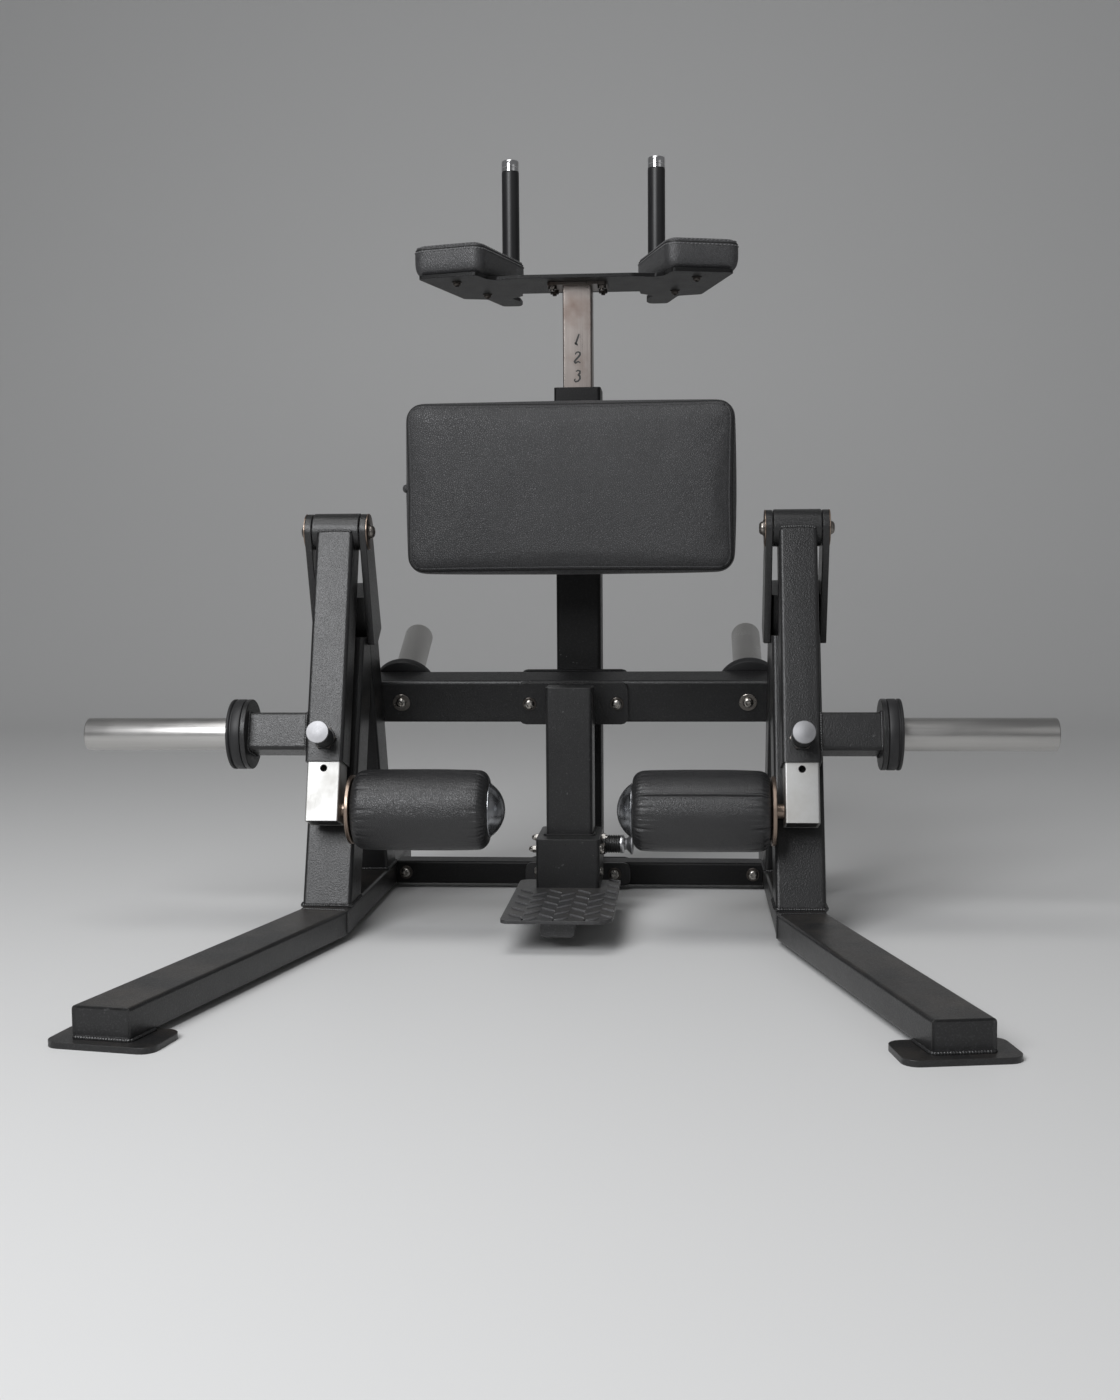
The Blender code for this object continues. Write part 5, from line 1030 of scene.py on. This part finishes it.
# Numerals painted on the arm rest's post
STROKE_WIDTH = 0.0033
PAINT = Vector((0.0, 0.0, 0.00018))


def add_stroke(shape, points, place):
    """Painted stroke through points in tenths of a millimetre: a thin ribbon that narrows at both ends."""
    path = resampled([(x * 0.0001, y * 0.0001, 0.0) for x, y in points], 0.0006, False)
    last = len(path) - 1
    rings = []
    for index, point in enumerate(path):
        along = (path[min(last, index + 1)] - path[max(0, index - 1)]).normalized()
        share = 0.08 + 0.84 * index / last
        across = Vector((-along.y, along.x, 0.0)) * (STROKE_WIDTH / 2 * (0.45 + 0.55 * sin(pi * share)))
        spots = (point + across, point - across, point - across + PAINT, point + across + PAINT)
        rings.append([shape.verts.new(place @ spot) for spot in spots])
    bridge(shape, rings)


NUMERALS = (
    (0.9557, (((-35, -85), (-12, -20), (12, 45), (30, 100)), ((-48, -50), (-20, -70), (5, -98)))),
    (0.9248, (((-40, 55), (-20, 88), (15, 98), (45, 80), (45, 50), (15, 10), (-30, -35), (-55, -70),
               (-35, -95), (-10, -75), (20, -70), (50, -92)),)),
    (0.8930, (((-30, 80), (5, 98), (42, 85), (40, 50), (10, 22), (38, 0), (42, -45), (10, -85), (-35, -98),
               (-58, -70), (-40, -45)),)),
)
shape = bmesh.new()
post_front = at(0.0, COLUMN_CENTRE - REST_POST / 2, 0.0)
for height, strokes in NUMERALS:
    place = facing(post_front + Vector((0, -0.00005, height)), (0, -1, 0), (1, 0, 0))
    for stroke in strokes:
        add_stroke(shape, stroke, place)
piece("height_numerals", shape, "arm_rest", ink, smooth=False)


# Raised bars on the tread
TREAD_TOP = 0.052
TREAD_HALF = 0.0800
TREAD_NEAR = -0.4065
TREAD_FAR = -0.0975
SLEEVE_NEAR = -0.166
SLEEVE_CLEAR = 0.0125
BAR_PITCH = 0.0450
BAR_LENGTH = 0.032
BAR_WIDTH = 0.0062
BAR_HEIGHT = 0.0021
BAR_SIDES = 24


def add_bar(shape, x, depth, turn):
    """Pointed raised bar, cut off where it would leave the plate."""
    rings = []
    for share, lift in ((1.0, -0.0003), (0.97, 0.0002), (0.70, 0.75 * BAR_HEIGHT), (0.30, BAR_HEIGHT)):
        ring = []
        for n in range(BAR_SIDES):
            angle = 2 * pi * n / BAR_SIDES
            along = cos(angle) * (BAR_LENGTH / 2 - (1 - share) * BAR_WIDTH / 2)
            slim = 0.35 + 0.65 * (1 - abs(cos(angle)) ** 2.6)
            aside = copysign(1.0, sin(angle)) * abs(sin(angle)) ** 0.8 * BAR_WIDTH / 2 * share * slim
            here_x = x + along * cos(turn) - aside * sin(turn)
            here_y = depth + along * sin(turn) + aside * cos(turn)
            here_x = max(-TREAD_HALF, min(TREAD_HALF, here_x))
            here_y = max(TREAD_NEAR, min(TREAD_FAR, here_y))
            ring.append(shape.verts.new(at(here_x, here_y, TREAD_TOP + lift)))
        rings.append(ring)
    bridge(shape, rings)


def room_for_bar(x, depth):
    on_plate = abs(x) < 0.079 and TREAD_NEAR + 0.004 < depth < TREAD_FAR - 0.004
    corner_cut = x > 0.056 and depth < -0.385
    near_sleeve = abs(x) < STEP_SLEEVE / 2 + SLEEVE_CLEAR and depth > SLEEVE_NEAR - SLEEVE_CLEAR
    return on_plate and not corner_cut and not near_sleeve


shape = bmesh.new()
for kind, turn in ((0, radians(-46)), (1, radians(46))):
    for column in range(-3, 4):
        for row in range(8):
            x = -0.0170 + (column + 0.5 * kind) * BAR_PITCH
            depth = -0.3780 + (row - 0.5 * kind) * BAR_PITCH
            if room_for_bar(x, depth):
                add_bar(shape, x, depth, turn)
piece("tread_bars", shape, "step", bar_steel, angle=60.0)


# Studio
FLOOR_NEAR = -9.0
FLOOR_FAR = 3.2
SWEEP_RADIUS = 1.6
WALL_TOP = 9.0
HALF_WIDTH = 40.0


def studio_sweep():
    """Pale floor that curves up into a pale wall behind the machine."""
    shape = bmesh.new()
    profile = [(FLOOR_NEAR, 0.0), (FLOOR_FAR, 0.0)]
    for step in range(1, 13):
        angle = radians(7.5 * step)
        profile.append((FLOOR_FAR + SWEEP_RADIUS * sin(angle), SWEEP_RADIUS * (1 - cos(angle))))
    profile.append((FLOOR_FAR + SWEEP_RADIUS, WALL_TOP))
    left, right = ([shape.verts.new((x, y, z)) for y, z in profile] for x in (-HALF_WIDTH, HALF_WIDTH))
    for index in range(len(profile) - 1):
        shape.faces.new((left[index], right[index], right[index + 1], left[index + 1]))
    mesh = new_mesh("studio_floor", shape)
    mesh.shade_smooth()
    material, tree, shader = blank("pale_floor")
    fed(tree, shader, {"Base Color": (0.74, 0.74, 0.735, 1.0), "Roughness": 0.55})
    mesh.materials.append(material)
    new_object("studio_floor", mesh)


studio_sweep()


def area_light(name, location, target, size, power, colour=(1, 1, 1)):
    data = bpy.data.lights.new(name, "AREA")
    item = new_object(name, configured(data, energy=power, color=colour, size=size))
    item.location = location
    item.rotation_euler = (Vector(target) - Vector(location)).to_track_quat("-Z", "Y").to_euler()


COOL = (0.97, 0.98, 1.0)
area_light("key_light", (-1.25, -2.90, 2.30), (-0.2, 0, 0.5), 1.7, 88, COOL)
area_light("fill_light", (2.6, -1.8, 1.8), (0, 0, 0.5), 1.8, 3)
area_light("top_light", (-0.6, -0.9, 3.3), (0, 0, 0.4), 1.7, 30)
world = bpy.data.worlds.new("studio_world")
world.use_nodes = True
fed(world.node_tree, world.node_tree.nodes["Background"], {"Color": (*COOL, 1.0), "Strength": 0.17})
scene.world = world
scene.view_settings.view_transform = "Standard"

# Camera, as solved from the photograph: focal length and height of the picture in its own pixels
YAW = radians(4.421)
PITCH = radians(4.480)
ROLL = radians(0.408)
FOCAL_LENGTH = 1589.5
PICTURE_HEIGHT = 1400.0
SENSOR = 36.0
forward = Vector((-sin(YAW) * cos(PITCH), cos(YAW) * cos(PITCH), -sin(PITCH)))
level = Vector((cos(YAW), sin(YAW), 0.0))
down = forward.cross(level)
right = level * cos(ROLL) + down * sin(ROLL)
low = down * cos(ROLL) - level * sin(ROLL)
lens = SENSOR * FOCAL_LENGTH / PICTURE_HEIGHT
camera = new_object("camera", configured(bpy.data.cameras.new("camera"), sensor_width=SENSOR, lens=lens,
                                         clip_start=0.05))
placement = Matrix((right, -low, -forward)).transposed().to_4x4()
placement.translation = at(0.1819, -2.6503, 0.5464)
camera.matrix_world = placement
scene.camera = camera
